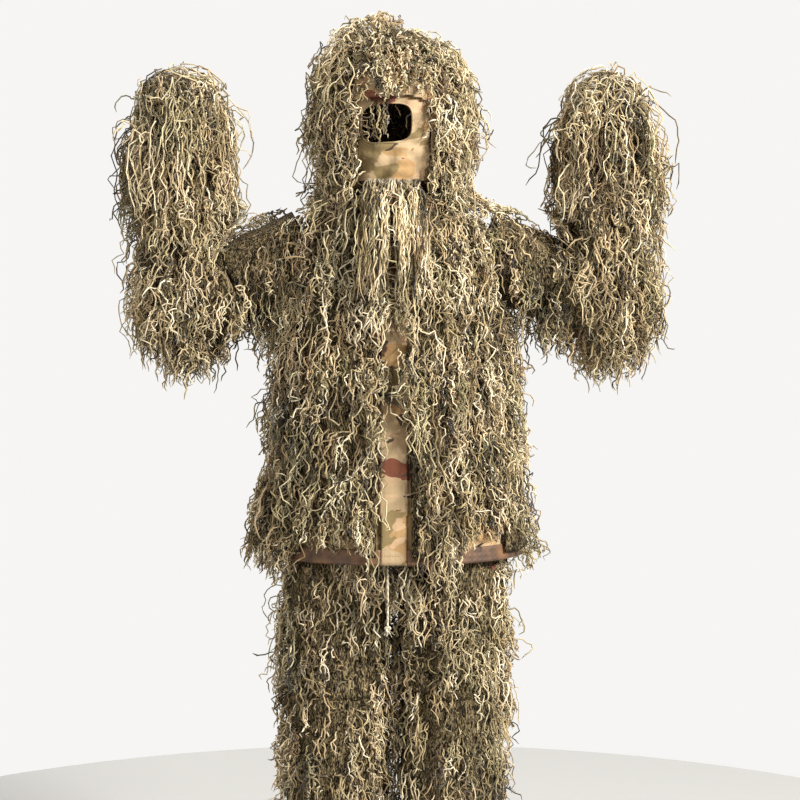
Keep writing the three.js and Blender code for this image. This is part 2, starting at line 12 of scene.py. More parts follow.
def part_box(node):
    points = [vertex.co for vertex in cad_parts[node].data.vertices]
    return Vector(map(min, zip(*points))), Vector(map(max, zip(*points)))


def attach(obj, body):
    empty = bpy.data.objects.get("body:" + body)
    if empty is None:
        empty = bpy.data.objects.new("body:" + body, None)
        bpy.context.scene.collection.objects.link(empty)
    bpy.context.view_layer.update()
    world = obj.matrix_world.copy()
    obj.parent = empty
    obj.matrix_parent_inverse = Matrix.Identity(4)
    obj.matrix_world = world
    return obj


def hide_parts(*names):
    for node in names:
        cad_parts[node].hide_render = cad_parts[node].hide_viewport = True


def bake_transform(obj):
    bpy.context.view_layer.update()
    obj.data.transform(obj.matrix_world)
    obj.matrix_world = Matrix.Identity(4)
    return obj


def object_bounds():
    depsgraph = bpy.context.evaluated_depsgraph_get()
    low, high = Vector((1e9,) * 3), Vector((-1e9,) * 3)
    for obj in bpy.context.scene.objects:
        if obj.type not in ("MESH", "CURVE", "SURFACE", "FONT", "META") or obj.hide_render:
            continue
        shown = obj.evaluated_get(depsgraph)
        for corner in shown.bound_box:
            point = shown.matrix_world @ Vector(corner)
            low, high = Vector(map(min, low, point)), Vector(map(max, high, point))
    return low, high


bl_info = {
    "name": "Ghillie suit",
    "version": (1, 0, 0),
    "blender": (4, 5, 0),
    "location": "View3D > Sidebar > Ghillie suit",
    "description": "Builds a ghillie suit of printed cloth and loose yarn on its packed frame",
    "category": "Object",
}

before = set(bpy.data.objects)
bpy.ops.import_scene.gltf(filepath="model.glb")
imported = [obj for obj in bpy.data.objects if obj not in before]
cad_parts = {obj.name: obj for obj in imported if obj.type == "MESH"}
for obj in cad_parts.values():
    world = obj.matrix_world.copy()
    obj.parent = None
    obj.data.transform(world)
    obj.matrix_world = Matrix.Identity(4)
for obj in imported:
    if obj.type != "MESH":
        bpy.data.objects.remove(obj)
CAD_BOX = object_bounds()

MM = 0.001
DOWN = np.array([0.0, 0.0, -1.0])
SIDES = (("left", 1.0), ("right", -1.0))
STRAND_RINGS = 14
# how many strands are shaped before they are bent, and about how many make a tuft
STRAND_SHAPES = 8
TUFT = 7
# from one row of tufts to the next, and how far a strand may pass the CAD's box
ROW = 62 * MM
SLACK = 8 * MM
# share of strands that stray from their tuft
STRAY_SHARE = 0.08
# how much a coat's strands wave, and how soon their own weight turns them down
COAT_CURL = 1.25
COAT_WEIGHT = 0.4
# each wave of a strand: radians for one ring, reach, and the share its tuft has in common
WAVES = ((0.5, 0.6, 0.7), (1.25, 0.85, 0.2), (2.1, 0.42, 0.0))
# how far the net lies off the cloth of the legs, and how far it leans to the other leg
LEG_NET_GAP = 20 * MM
LEG_NET_LEAN = 9 * MM
CLOTH_NODES = (
    "jacket_back", "jacket_front_left", "jacket_front_right", "collar_band", "hood_shell",
    "brow_band", "face_veil", "hips_cloth", "waistband",
)
LIMB_NODES = (
    "shoulder_gusset", "upper_sleeve", "elbow_gusset", "forearm_sleeve", "cuff", "hip_gusset",
    "thigh_cloth", "knee_gusset", "shin_cloth", "leg_hem",
)


# ---------------------------------------------------------------- settings

class GhillieYarnSettings(bpy.types.PropertyGroup):
    """The loose yarn"""

    thickness: FloatProperty(
        name="Thickness", description="How thick one strand is", default=2.75 * MM, unit="LENGTH",
    )
    crimp: FloatProperty(
        name="Crimp", description="How far a strand's kinks swing", default=2.2 * MM, unit="LENGTH",
    )
    share: FloatProperty(
        name="Density", description="Share of the full number of strands", default=1.0, min=0.05, max=1.5,
    )
    seed: IntProperty(name="Seed", description="Changes how the strands fall", default=7)


class GhillieClothSettings(bpy.types.PropertyGroup):
    """The printed cloth"""

    thickness: FloatProperty(
        name="Thickness", description="How thick the cloth is", default=1.4 * MM, unit="LENGTH",
    )
    patch: FloatProperty(
        name="Patch size", description="Size of one printed patch", default=55 * MM, unit="LENGTH",
    )
    tan: FloatVectorProperty(
        name="Ground", description="Ground colour of the print", subtype="COLOR",
        default=(0.45, 0.315, 0.17),
    )


class GhillieStageSettings(bpy.types.PropertyGroup):
    """The camera"""

    lens: FloatProperty(name="Lens", description="Focal length in millimetres", default=90.0, min=20, max=300)
    width: FloatProperty(
        name="View width", description="Width of the view at the suit", default=1.48, unit="LENGTH",
    )
    height: FloatProperty(
        name="Camera height", description="Height of the camera over the shoulders",
        default=-0.08, unit="LENGTH",
    )


def yarn_settings():
    return bpy.context.scene.ghillie_yarn


def cloth_settings():
    return bpy.context.scene.ghillie_cloth


# ---------------------------------------------------------------- materials

def linear(code):
    """An sRGB hex colour as linear RGBA."""
    parts = [int(code[i:i + 2], 16) / 255 for i in (1, 3, 5)]
    return [c / 12.92 if c <= 0.04045 else ((c + 0.055) / 1.055) ** 2.4 for c in parts] + [1.0]


def add_node(tree, kind, links=None, values=None, stops=None, **settings):
    """Adds one node: its settings, its inputs' values, a ramp's stops, and its inputs' links."""
    node = tree.nodes.new(kind)
    for name, value in settings.items():
        setattr(node, name, value)
    for key, value in (values or {}).items():
        node.inputs[key].default_value = value
    for key, socket in (links or {}).items():
        tree.links.new(socket, node.inputs[key])
    if stops:
        elements = node.color_ramp.elements
        while len(elements) < len(stops):
            elements.new(0.5)
        for element, (place, colour) in zip(elements, stops):
            element.position = place
            element.color = linear(colour)
    return node


def new_material(name, roughness, **values):
    material = bpy.data.materials.new(name)
    material.use_nodes = True
    tree = material.node_tree
    shader = tree.nodes["Principled BSDF"]
    shader.inputs["Roughness"].default_value = roughness
    for key, value in values.items():
        shader.inputs[key.replace("_", " ")].default_value = value
    return material, tree, shader, add_node(tree, "ShaderNodeTexCoord").outputs["Object"]


def crimped_yarn(name, stops):
    """Bulked acrylic yarn, dyed in lots and crimped by heat: matt, hairy, each strand its own shade."""
    material, tree, shader, place = new_material(
        name, 0.92, Sheen_Weight=0.2, Sheen_Roughness=0.6, Specular_IOR_Level=0.25,
    )
    dye = add_node(tree, "ShaderNodeAttribute", attribute_name="dye")
    along = add_node(tree, "ShaderNodeAttribute", attribute_name="along")
    # the dye takes unevenly along a strand, in stretches of about 20 mm
    blotch = add_node(tree, "ShaderNodeTexNoise", {"Vector": place}, {"Scale": 45.0, "Detail": 2.0})
    mixed = add_node(
        tree, "ShaderNodeMath", {0: blotch.outputs["Fac"], 2: dye.outputs["Fac"]}, {1: 0.24},
        operation="MULTIPLY_ADD",
    )
    shifted = add_node(tree, "ShaderNodeMath", {0: mixed.outputs[0]}, {1: 0.12}, operation="SUBTRACT")
    lots = [add_node(tree, "ShaderNodeValToRGB", {"Fac": shifted.outputs[0]}, stops=lot) for lot in stops]
    lot = add_node(tree, "ShaderNodeAttribute", attribute_name="lot")
    ramp = add_node(
        tree, "ShaderNodeMix",
        {0: lot.outputs["Fac"], 6: lots[0].outputs["Color"], 7: lots[1].outputs["Color"]},
        data_type="RGBA",
    )
    # painted shade: each strand is darker at its root, where the strands over it shade it, and a little paler
    # towards its end
    painted_root_shade = add_node(
        tree, "ShaderNodeMapRange", {"Value": along.outputs["Fac"]},
        {"From Min": 0.0, "From Max": 0.45, "To Min": 0.62, "To Max": 1.05},
    )
    colour = add_node(
        tree, "ShaderNodeVectorMath", {0: ramp.outputs[2], "Scale": painted_root_shade.outputs["Result"]},
        operation="SCALE",
    )
    tree.links.new(colour.outputs["Vector"], shader.inputs["Base Color"])
    # fibres stand out of the twist every millimetre or so
    hairs = add_node(tree, "ShaderNodeTexNoise", {"Vector": place}, {"Scale": 900.0, "Detail": 1.0})
    bump = add_node(
        tree, "ShaderNodeBump", {"Height": hairs.outputs["Fac"]}, {"Strength": 0.5, "Distance": 0.0008},
    )
    tree.links.new(bump.outputs["Normal"], shader.inputs["Normal"])
    return material


def painted_shade_net():
    """Netting matted with cut yarn: tangled and matt, seen only between the strands, and dark as painted
    shade for the gaps between them.
    """
    material, tree, shader, place = new_material("painted_shade_net", 0.95, Specular_IOR_Level=0.15)
    stretched = add_node(tree, "ShaderNodeMapping", {"Vector": place}, {"Scale": (1.0, 1.0, 0.32)})
    # a strand is about 3 mm wide, and wanders as it runs down
    strings = add_node(
        tree, "ShaderNodeTexNoise", {"Vector": stretched.outputs["Vector"]},
        {"Scale": 190.0, "Detail": 3.0, "Distortion": 2.6},
    )
    # painted shade: near black to dark olive, the shade deep between the strands
    ramp = add_node(
        tree, "ShaderNodeValToRGB", {"Fac": strings.outputs["Fac"]},
        stops=((0.40, "#120d07"), (0.49, "#3a2f1e"), (0.56, "#6f6146"), (0.66, "#95845f")),
    )
    tree.links.new(ramp.outputs["Color"], shader.inputs["Base Color"])
    bump = add_node(
        tree, "ShaderNodeBump", {"Height": strings.outputs["Fac"]}, {"Strength": 1.0, "Distance": 0.004},
    )
    tree.links.new(bump.outputs["Normal"], shader.inputs["Normal"])
    return material


def weave_into(tree, shader, place, thread, strength):
    """Raises warp and weft. Real threads are finer than shows, so they are drawn as coarse as shows."""
    heights = []
    for direction in ("X", "Z"):
        wave = add_node(
            tree, "ShaderNodeTexWave", {"Vector": place},
            {"Scale": 1 / (thread * 20), "Distortion": 0.6, "Detail": 1.0}, bands_direction=direction,
        )
        heights.append(wave.outputs["Fac"])
    weave = add_node(tree, "ShaderNodeMath", {0: heights[0], 1: heights[1]}, operation="MULTIPLY")
    bump = add_node(
        tree, "ShaderNodeBump", {"Height": weave.outputs[0]}, {"Strength": strength, "Distance": 0.0006},
    )
    tree.links.new(bump.outputs["Normal"], shader.inputs["Normal"])


def printed_cloth():
    """Polyester-cotton twill with a desert print: matt tan ground, sharp patches, a visible weave."""
    material, tree, shader, place = new_material("printed_twill", 0.82, Sheen_Weight=0.15)
    patch = cloth_settings().patch
    stretched = add_node(tree, "ShaderNodeMapping", {"Vector": place}, {"Scale": (1.0, 0.8, 1.5)})
    ground = add_node(tree, "ShaderNodeRGB")
    ground.outputs[0].default_value = list(cloth_settings().tan) + [1.0]
    colour = ground.outputs[0]
    # each colour is one screen of the print: its own cloudy field, cut off sharply
    for code, offset, cut, finer in PRINT_SCREENS:
        shift = add_node(
            tree, "ShaderNodeVectorMath", {0: stretched.outputs["Vector"]},
            {1: (offset, offset * 0.7, offset * 1.3)}, operation="ADD",
        )
        field = add_node(
            tree, "ShaderNodeTexNoise", {"Vector": shift.outputs["Vector"]},
            {"Scale": 0.55 * finer / patch, "Detail": 2.5, "Roughness": 0.55, "Distortion": 0.6},
        )
        mask = add_node(
            tree, "ShaderNodeValToRGB", {"Fac": field.outputs["Fac"]},
            stops=((cut - 0.006, "#000000"), (cut + 0.006, "#ffffff")),
        )
        over = add_node(
            tree, "ShaderNodeMix", {0: mask.outputs["Color"], 6: colour}, {7: linear(code)},
            data_type="RGBA",
        )
        colour = over.outputs[2]
    # wear and dust lie in soft clouds
    dust = add_node(tree, "ShaderNodeTexNoise", {"Vector": place}, {"Scale": 9.0, "Detail": 4.0})
    worn = add_node(
        tree, "ShaderNodeMapRange", {"Value": dust.outputs["Fac"]}, {"To Min": 0.78, "To Max": 1.12},
    )
    shade = add_node(
        tree, "ShaderNodeVectorMath", {0: colour, "Scale": worn.outputs["Result"]}, operation="SCALE",
    )
    tree.links.new(shade.outputs["Vector"], shader.inputs["Base Color"])
    weave_into(tree, shader, place, 1.6 * MM, 0.35)
    return material


def woven_tape(name, code, dark):
    """Narrow woven nylon: tight ribs across and a little gloss on the raised threads."""
    material, tree, shader, place = new_material(name, 0.6, Sheen_Weight=0.1)
    blotch = add_node(tree, "ShaderNodeTexNoise", {"Vector": place}, {"Scale": 30.0, "Detail": 3.0})
    ramp = add_node(
        tree, "ShaderNodeValToRGB", {"Fac": blotch.outputs["Fac"]}, stops=((0.35, dark), (0.65, code)),
    )
    tree.links.new(ramp.outputs["Color"], shader.inputs["Base Color"])
    weave_into(tree, shader, place, 1.5 * MM, 0.6)
    return material


def braided_cord():
    """Braided cotton cord: pale and soft, with a slanting braid that shows as fine ridges."""
    material, tree, shader, place = new_material("braided_cotton", 0.85, Sheen_Weight=0.3)
    braid = add_node(
        tree, "ShaderNodeTexWave", {"Vector": place}, {"Scale": 55.0, "Distortion": 1.5},
        bands_direction="DIAGONAL",
    )
    ramp = add_node(
        tree, "ShaderNodeValToRGB", {"Fac": braid.outputs["Fac"]},
        stops=((0.0, "#b5a684"), (1.0, "#e9dfc6")),
    )
    tree.links.new(ramp.outputs["Color"], shader.inputs["Base Color"])
    bump = add_node(
        tree, "ShaderNodeBump", {"Height": braid.outputs["Fac"]}, {"Strength": 0.6, "Distance": 0.0006},
    )
    tree.links.new(bump.outputs["Normal"], shader.inputs["Normal"])
    return material


def mottled(name, roughness, scale, stops, **values):
    """A finish whose colour only drifts between close shades."""
    material, tree, shader, place = new_material(name, roughness, **values)
    drift = add_node(tree, "ShaderNodeTexNoise", {"Vector": place}, {"Scale": scale, "Detail": 3.0})
    ramp = add_node(tree, "ShaderNodeValToRGB", {"Fac": drift.outputs["Fac"]}, stops=stops)
    tree.links.new(ramp.outputs["Color"], shader.inputs["Base Color"])
    return material


def dulled_brass():
    """Stamped brass, dulled by a dark dip: warm metal with soft, patchy highlights."""
    return mottled("dulled_brass", 0.42, 260.0, ((0.35, "#5c4a28"), (0.7, "#9c8450")), Metallic=1.0)


def sewing_thread():
    """Spun polyester thread: paler than the cloth and slightly glossy."""
    return mottled("sewing_thread", 0.55, 700.0, ((0.3, "#8c7347"), (0.7, "#c9ad7c")))


def studio_paper():
    """Seamless background paper: plain, pale and matt."""
    return mottled("studio_paper", 0.95, 300.0, ((0.0, "#a8a6a2"), (1.0, "#b1afab")))


PRINT_SCREENS = (
    ("#a98556", 0.0, 0.52, 1.0), ("#857046", 3.1, 0.55, 1.2), ("#bd9c76", 7.7, 0.58, 1.1),
    ("#774029", 12.4, 0.60, 1.3), ("#453723", 19.2, 0.655, 1.8),
)
YARN_LOTS = (
    (
        (0.03, "#241d0e"), (0.18, "#4e4628"), (0.36, "#7c714a"), (0.55, "#a8996d"), (0.74, "#ccbd93"),
        (0.95, "#e4d9bb"),
    ),
    (
        (0.03, "#2c1e10"), (0.18, "#60492b"), (0.36, "#8f744d"), (0.55, "#b79b70"), (0.74, "#d6bf97"),
        (0.95, "#e8d8b8"),
    ),
)
MAKERS = {
    "yarn": lambda: crimped_yarn("crimped_yarn", YARN_LOTS),
    "net": painted_shade_net,
    "cloth": printed_cloth,
    "hem": lambda: woven_tape("hem_tape", "#7c5636", "#4a3320"),
    "elastic": lambda: woven_tape("ribbed_elastic", "#6b6044", "#453d2a"),
    "cord": braided_cord,
    "brass": dulled_brass,
    "thread": sewing_thread,
    "paper": studio_paper,
}
# each finish's material, once it is made
made_materials = {}


def finish(key):
    """The material of one finish, made once."""
    if key not in made_materials:
        made_materials[key] = MAKERS[key]()
    return made_materials[key]


# ---------------------------------------------------------------- measuring the frame

def node_mesh(names):
    """The vertices and triangles of CAD nodes, as one bmesh."""
    bm = bmesh.new()
    for name in names:
        bm.from_mesh(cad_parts[name].data)
    return bm


def limb_names(side):
    return [f"{kind}_{side}" for kind in LIMB_NODES]


def top_of(node):
    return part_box(node)[1][2]


# ---------------------------------------------------------------- meshes

def object_from(bm, name, key, smooth=True):
    mesh = bpy.data.meshes.new(name)
    bm.to_mesh(mesh)
    bm.free()
    mesh.materials.append(finish(key))
    if smooth:
        mesh.shade_smooth()
    piece = bpy.data.objects.new(name, mesh)
    bpy.context.scene.collection.objects.link(piece)
    return piece


def ring_matrix(centre, normal, rx, ry, roll_axis=(0, 1, 0)):
    """Places a unit circle: its plane across normal, its y along roll_axis."""
    z = Vector(normal).normalized()
    y = Vector(roll_axis).normalized()
    x = y.cross(z).normalized()
    rotation = Matrix((x, z.cross(x), z)).transposed().to_4x4()
    return Matrix.Translation(centre) @ rotation @ Matrix.Diagonal((rx, ry, 1, 1))


def loft(rings, segments):
    """An open tube through a list of ring matrices."""
    bm = bmesh.new()
    made = bmesh.ops.create_circle(bm, cap_ends=False, segments=segments, radius=1, matrix=rings[0])
    edges = list({e for v in made["verts"] for e in v.link_edges})
    for last, ring in zip(rings, rings[1:]):
        grown = bmesh.ops.extrude_edge_only(bm, edges=edges)["geom"]
        verts = [g for g in grown if isinstance(g, bmesh.types.BMVert)]
        edges = [
            g for g in grown
            if isinstance(g, bmesh.types.BMEdge) and all(v in set(verts) for v in g.verts)
        ]
        bmesh.ops.transform(bm, matrix=ring @ last.inverted(), verts=verts)
    bmesh.ops.recalc_face_normals(bm, faces=bm.faces)
    return bm


def crumple(bm, size, depth, seed, along=(1, 1, 1)):
    """Presses soft folds into cloth: about size apart and depth deep."""
    bm.normal_update()
    moves = []
    for v in bm.verts:
        place = Vector(v.co[i] * along[i] for i in range(3)) / size + Vector((seed, seed * 0.37, 0))
        moves.append((v, v.normal * (noise.noise(place) * depth)))
    for v, move in moves:
        v.co += move


def thicken(bm, thickness):
    """Gives a cloth sheet its thickness."""
    bmesh.ops.recalc_face_normals(bm, faces=bm.faces)
    grown = bmesh.ops.extrude_face_region(bm, geom=bm.faces[:], use_keep_orig=True)["geom"]
    bm.normal_update()
    moves = [(g, g.normal * thickness) for g in grown if isinstance(g, bmesh.types.BMVert)]
    for v, move in moves:
        v.co += move
    bmesh.ops.recalc_face_normals(bm, faces=bm.faces)


def delete_faces(bm, unwanted):
    doomed = [f for f in bm.faces if unwanted(f.calc_center_median())]
    bmesh.ops.delete(bm, geom=doomed, context="FACES")


def cloth_area(bm):
    return sum(f.calc_area() for f in bm.faces)


# ---------------------------------------------------------------- strands of yarn

def strand_shape(seed):
    """One crimped strand as a thin three-sided tube whose height is its ring's number."""
    rng = np.random.default_rng(seed)
    settings = yarn_settings()
    bm = bmesh.new()
    made = bmesh.ops.create_circle(bm, cap_ends=True, segments=3, radius=settings.thickness / 2)
    edges = list({e for v in made["verts"] for e in v.link_edges})
    here = np.zeros(2)
    for ring in range(1, STRAND_RINGS):
        grown = bmesh.ops.extrude_edge_only(bm, edges=edges)["geom"]
        verts = [g for g in grown if isinstance(g, bmesh.types.BMVert)]
        edges = [
            g for g in grown
            if isinstance(g, bmesh.types.BMEdge) and all(v in set(verts) for v in g.verts)
        ]
        angle = ring * 2.2 + rng.normal(0, 0.6)
        swing = settings.crimp * rng.uniform(0.35, 1.0)
        there = np.array([math.cos(angle), math.sin(angle)]) * swing
        step = Vector((*(there - here), 1.0))
        bmesh.ops.translate(bm, vec=step, verts=verts)
        if ring == STRAND_RINGS - 1:
            middle = sum((v.co for v in verts), Vector()) / len(verts)
            shrink = Matrix.Translation(middle) @ Matrix.Scale(0.35, 4) @ Matrix.Translation(-middle)
            bmesh.ops.transform(bm, matrix=shrink, verts=verts)
        here = there
    bmesh.ops.contextual_create(bm, geom=edges)
    bmesh.ops.recalc_face_normals(bm, faces=bm.faces)
    points = np.array([v.co for v in bm.verts])
    faces = [[v.index for v in f.verts] for f in bm.faces]
    bm.free()
    return points, faces


made_shapes = []


def strand_shapes():
    if not made_shapes:
        made_shapes.extend(strand_shape(seed) for seed in range(STRAND_SHAPES))
    return made_shapes


class WornForm:
    """The cloth as worn, which strands lie on."""

    def __init__(self):
        names = list(CLOTH_NODES)
        for side, _ in SIDES:
            names += limb_names(side)
        bm = node_mesh(names)
        for side, sign in SIDES:
            low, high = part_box(f"cuff_{side}")
            centre = (Vector(low) + Vector(high)) / 2
            top = top_of(f"forearm_yarn_{side}") - 34 * MM
            reach = top - low[2]
            radius = (high[0] - low[0]) / 2
            matrix = Matrix.Translation((centre.x, 0, low[2] + reach / 2))
            bmesh.ops.create_cone(
                bm, cap_ends=False, segments=16, radius1=radius, radius2=radius + 3 * MM, depth=reach,
                matrix=matrix,
            )
            dome = Matrix.Translation((centre.x, 0, low[2] + reach)) @ Matrix.Diagonal((1, 1, 0.6, 1))
            bmesh.ops.create_icosphere(bm, subdivisions=3, radius=radius + 3 * MM, matrix=dome)
        self.tree = BVHTree.FromBMesh(bm)
        bm.free()

    def nearest(self, points):
        """Each point's height over the cloth, and the cloth's outward direction there."""
        heights = np.empty(len(points))
        normals = np.empty((len(points), 3))
        for i, point in enumerate(points):
            place, normal, _, distance = self.tree.find_nearest(point)
            away = Vector(point) - place
            outside = away.dot(normal) >= 0
            heights[i] = distance if outside else -distance
            normals[i] = away / distance if outside and distance > 1e-5 else normal
        return heights, normals


made_form = []


def worn_form():
    if not made_form:
        made_form.append(WornForm())
    return made_form[0]


def roots_on(names, axis_point, count, rng, keep=None, favour=None):
    """Random places on the outside of CAD cloth nodes, with their outward directions.
    axis_point gives, for a place, the point inside the cloth that it faces away from."""
    bm = node_mesh(names)
    bmesh.ops.triangulate(bm, faces=bm.faces)
    corners = np.array([[v.co[:] for v in f.verts] for f in bm.faces])
    bm.free()
    cross = np.cross(corners[:, 1] - corners[:, 0], corners[:, 2] - corners[:, 0])
    area = np.linalg.norm(cross, axis=1) / 2
    normal = cross / np.maximum(2 * area, 1e-12)[:, None]
    middle = corners.mean(1)
    away = middle - np.array([axis_point(m) for m in middle])
    outward = np.einsum("ij,ij->i", normal, away)
    good = (outward > 0.3 * np.linalg.norm(away, axis=1)) & (area > 1e-9)
    corners, area, normal = corners[good], area[good], normal[good]
    found, directions = [], []
    while sum(map(len, found)) < count:
        pick = rng.choice(len(area), count, p=area / area.sum())
        u, v = rng.random((2, count, 1))
        u, v = np.where(u + v > 1, 1 - u, u), np.where(u + v > 1, 1 - v, v)
        a, b, c = corners[pick, 0], corners[pick, 1], corners[pick, 2]
        places = a + u * (b - a) + v * (c - a)
        kept = np.ones(count, bool) if keep is None else np.array([keep(p) for p in places])
        if favour is not None:
            kept &= rng.random(count) < np.array([favour(p) for p in places])
        # the tufts are sewn on in rows
        kept &= (places[:, 2] / ROW % 1.0 < 0.5) | (rng.random(count) < 0.35)
        found.append(places[kept])
        directions.append(normal[pick][kept])
    return np.concatenate(found)[:count], np.concatenate(directions)[:count]


def unit(vectors):
    return vectors / np.maximum(np.linalg.norm(vectors, axis=1, keepdims=True), 1e-9)


def comb(roots, normals, lengths, lifts, rng, tuft, curl, weight, start=None, fade=3.0):
    """Lets strands fall from their roots over the worn form, and returns their centre lines.
    Strands of one tuft sway alike."""
    form = worn_form()
    count = len(roots)
    tufts = tuft.max() + 1
    step = lengths / (STRAND_RINGS - 1)
    stray = (rng.random((count, 1)) < STRAY_SHARE) * rng.uniform(0.4, 0.9, (count, 1))
    weight = weight * (1 - 0.75 * stray)
    curl = curl * (1 + 0.9 * stray)
    line = [roots + normals * 0.5 * MM]
    lean = unit(rng.normal(size=(tufts, 3)))[tuft] * 0.8 + rng.normal(0, 0.35, (count, 3))
    heading = unit(normals * 0.9 + lean + DOWN * 0.3) if start is None else start
    waves = []
    for pace, reach, alike in WAVES:
        phase = alike * rng.uniform(0, 2 * math.pi, (tufts, 2))[tuft]
        phase = phase + (1 - alike) * rng.uniform(0, 6.3, (count, 2))
        speed = pace * rng.uniform(0.7, 1.3, (count, 2))
        shared, own = rng.normal(size=(tufts, 3))[tuft], rng.normal(size=(count, 3))
        one = unit(shared * alike + own * (1 - alike) + 1e-6)
        two = unit(np.cross(one, unit(rng.normal(size=(count, 3)))))
        waves.append((phase, speed, one, two, reach * curl * rng.uniform(0.3, 1.2, (count, 1))))
    for ring in range(1, STRAND_RINGS):
        pull = weight * min(1.0, ring / 2)
        heading = unit(heading * (1 - pull) + DOWN * pull)
        swing = 0
        for phase, speed, one, two, reach in waves:
            angle = phase + speed * ring
            swing = swing + (one * np.sin(angle[:, :1]) + two * np.cos(angle[:, 1:])) * reach
        there = line[-1] + unit(heading + swing) * step[:, None]
        height, outward = form.nearest(there)
        short = np.clip(lifts * min(1.0, ring / fade) - height, 0, None)
        there = there + outward * short[:, None]
        there = line[-1] + unit(there - line[-1]) * step[:, None]
        line.append(np.clip(there, np.array(CAD_BOX[0]) - SLACK, np.array(CAD_BOX[1]) + SLACK))
    return np.stack(line, 1)


def strands_mesh(name, lines, rng, tuft, lighter=0.0):
    """Bends crimped strands along their centre lines into one mesh, with each strand's dye on its
    points. The strand itself is shaped by operators. Its thousands of bent copies are placed by
    array sums, each coat in one go."""
    shapes = strand_shapes()
    which = rng.integers(0, len(shapes), len(lines))
    tangent = np.gradient(lines, axis=1)
    tangent /= np.maximum(np.linalg.norm(tangent, axis=2, keepdims=True), 1e-9)
    hint = unit(rng.normal(size=(len(lines), 3)))[:, None, :]
    across = np.cross(tangent, hint)
    across /= np.maximum(np.linalg.norm(across, axis=2, keepdims=True), 1e-9)
    third = np.cross(tangent, across)
    scale = rng.uniform(0.8, 1.25, len(lines))
    tufts = tuft.max() + 1
    dye = rng.beta(1.5, 1.5, tufts)[tuft] * 0.72 + 0.14 + rng.normal(0, 0.17, len(lines)) + lighter
    dye = np.clip(dye, 0, 1)
    lot = np.clip(rng.random(tufts)[tuft] + rng.normal(0, 0.2, len(lines)), 0, 1)
    points, loops, starts, dyes, lots, alongs = [], [], [], [], [], []
    used, corner = 0, 0
    for number, (shape, faces) in enumerate(shapes):
        chosen = np.flatnonzero(which == number)
        if not len(chosen):
            continue
        ring = np.rint(shape[:, 2]).astype(int)
        size = scale[chosen][:, None, None]
        placed = lines[chosen][:, ring] + across[chosen][:, ring] * shape[None, :, 0, None] * size
        placed = placed + third[chosen][:, ring] * shape[None, :, 1, None] * size
        points.append(placed.reshape(-1, 3))
        flat = np.concatenate(faces)
        lengths = np.array([len(f) for f in faces])
        first = np.concatenate([[0], np.cumsum(lengths)[:-1]])
        shift = used + np.arange(len(chosen)) * len(shape)
        loops.append((flat[None, :] + shift[:, None]).ravel())
        starts.append((first[None, :] + corner + np.arange(len(chosen))[:, None] * len(flat)).ravel())
        dyes.append(np.repeat(dye[chosen], len(shape)))
        lots.append(np.repeat(lot[chosen], len(shape)))
        alongs.append(np.tile(ring / (STRAND_RINGS - 1), len(chosen)))
        used += len(chosen) * len(shape)
        corner += len(chosen) * len(flat)
    mesh = bpy.data.meshes.new(name)
    points, loops, starts = np.concatenate(points), np.concatenate(loops), np.concatenate(starts)
    mesh.vertices.add(len(points))
    mesh.vertices.foreach_set("co", points.astype(np.float32).ravel())
    mesh.loops.add(len(loops))
    mesh.loops.foreach_set("vertex_index", loops.astype(np.int32))
    mesh.polygons.add(len(starts))
    mesh.polygons.foreach_set("loop_start", starts.astype(np.int32))
    mesh.update(calc_edges=True)
    for label, values in (("dye", dyes), ("lot", lots), ("along", alongs)):
        attribute = mesh.attributes.new(label, "FLOAT", "POINT")
        attribute.data.foreach_set("value", np.concatenate(values).astype(np.float32))
    mesh.materials.append(finish("yarn"))
    mesh.shade_smooth()
    piece = bpy.data.objects.new(name, mesh)
    bpy.context.scene.collection.objects.link(piece)
    return piece


def strand_count(full):
    return max(8, int(full * yarn_settings().share))


def coat(
    name, nodes, axis_point, full, length, lift, number, keep=None, floor=None, favour=None,
    swell=None,
):
    """A coat of tufts tied all over some CAD cloth nodes. floor gives the lowest height that a root's
    strand reaches, and swell how much more its tuft stands off the cloth."""
    rng = np.random.default_rng(yarn_settings().seed * 1000 + number)
    count = strand_count(full)
    tufts = max(2, count // TUFT)
    centres, directions = roots_on(nodes, axis_point, tufts, rng, keep, favour)
    tuft = rng.integers(0, tufts, count)
    spread = rng.normal(0, 8 * MM, (count, 3))
    normals = directions[tuft]
    spread -= normals * np.einsum("ij,ij->i", spread, normals)[:, None]
    roots = centres[tuft] + spread
    lengths = rng.uniform(*length, tufts)[tuft] * rng.uniform(0.75, 1.1, count)
    if floor is not None:
        room = roots[:, 2] - np.array([floor(place) for place in roots])
        lengths = np.minimum(lengths, np.maximum(room, 0.0) * rng.uniform(1.0, 1.3, count) + 0.025)
    share = np.clip(rng.random(tufts)[tuft] + rng.normal(0, 0.12, count), 0, 1)
    lifts = lift[0] + (lift[1] - lift[0]) * share
    if swell is not None:
        lifts = np.maximum(lifts + np.array([swell(place) for place in centres])[tuft], 3 * MM)
    lines = comb(roots, normals, lengths, lifts, rng, tuft, COAT_CURL, COAT_WEIGHT)
    return strands_mesh(name, lines, rng, tuft)


def upright_axis(x=0.0):
    return lambda place: np.array([x, 0.0, place[2]])


# ---------------------------------------------------------------- the suit's levels

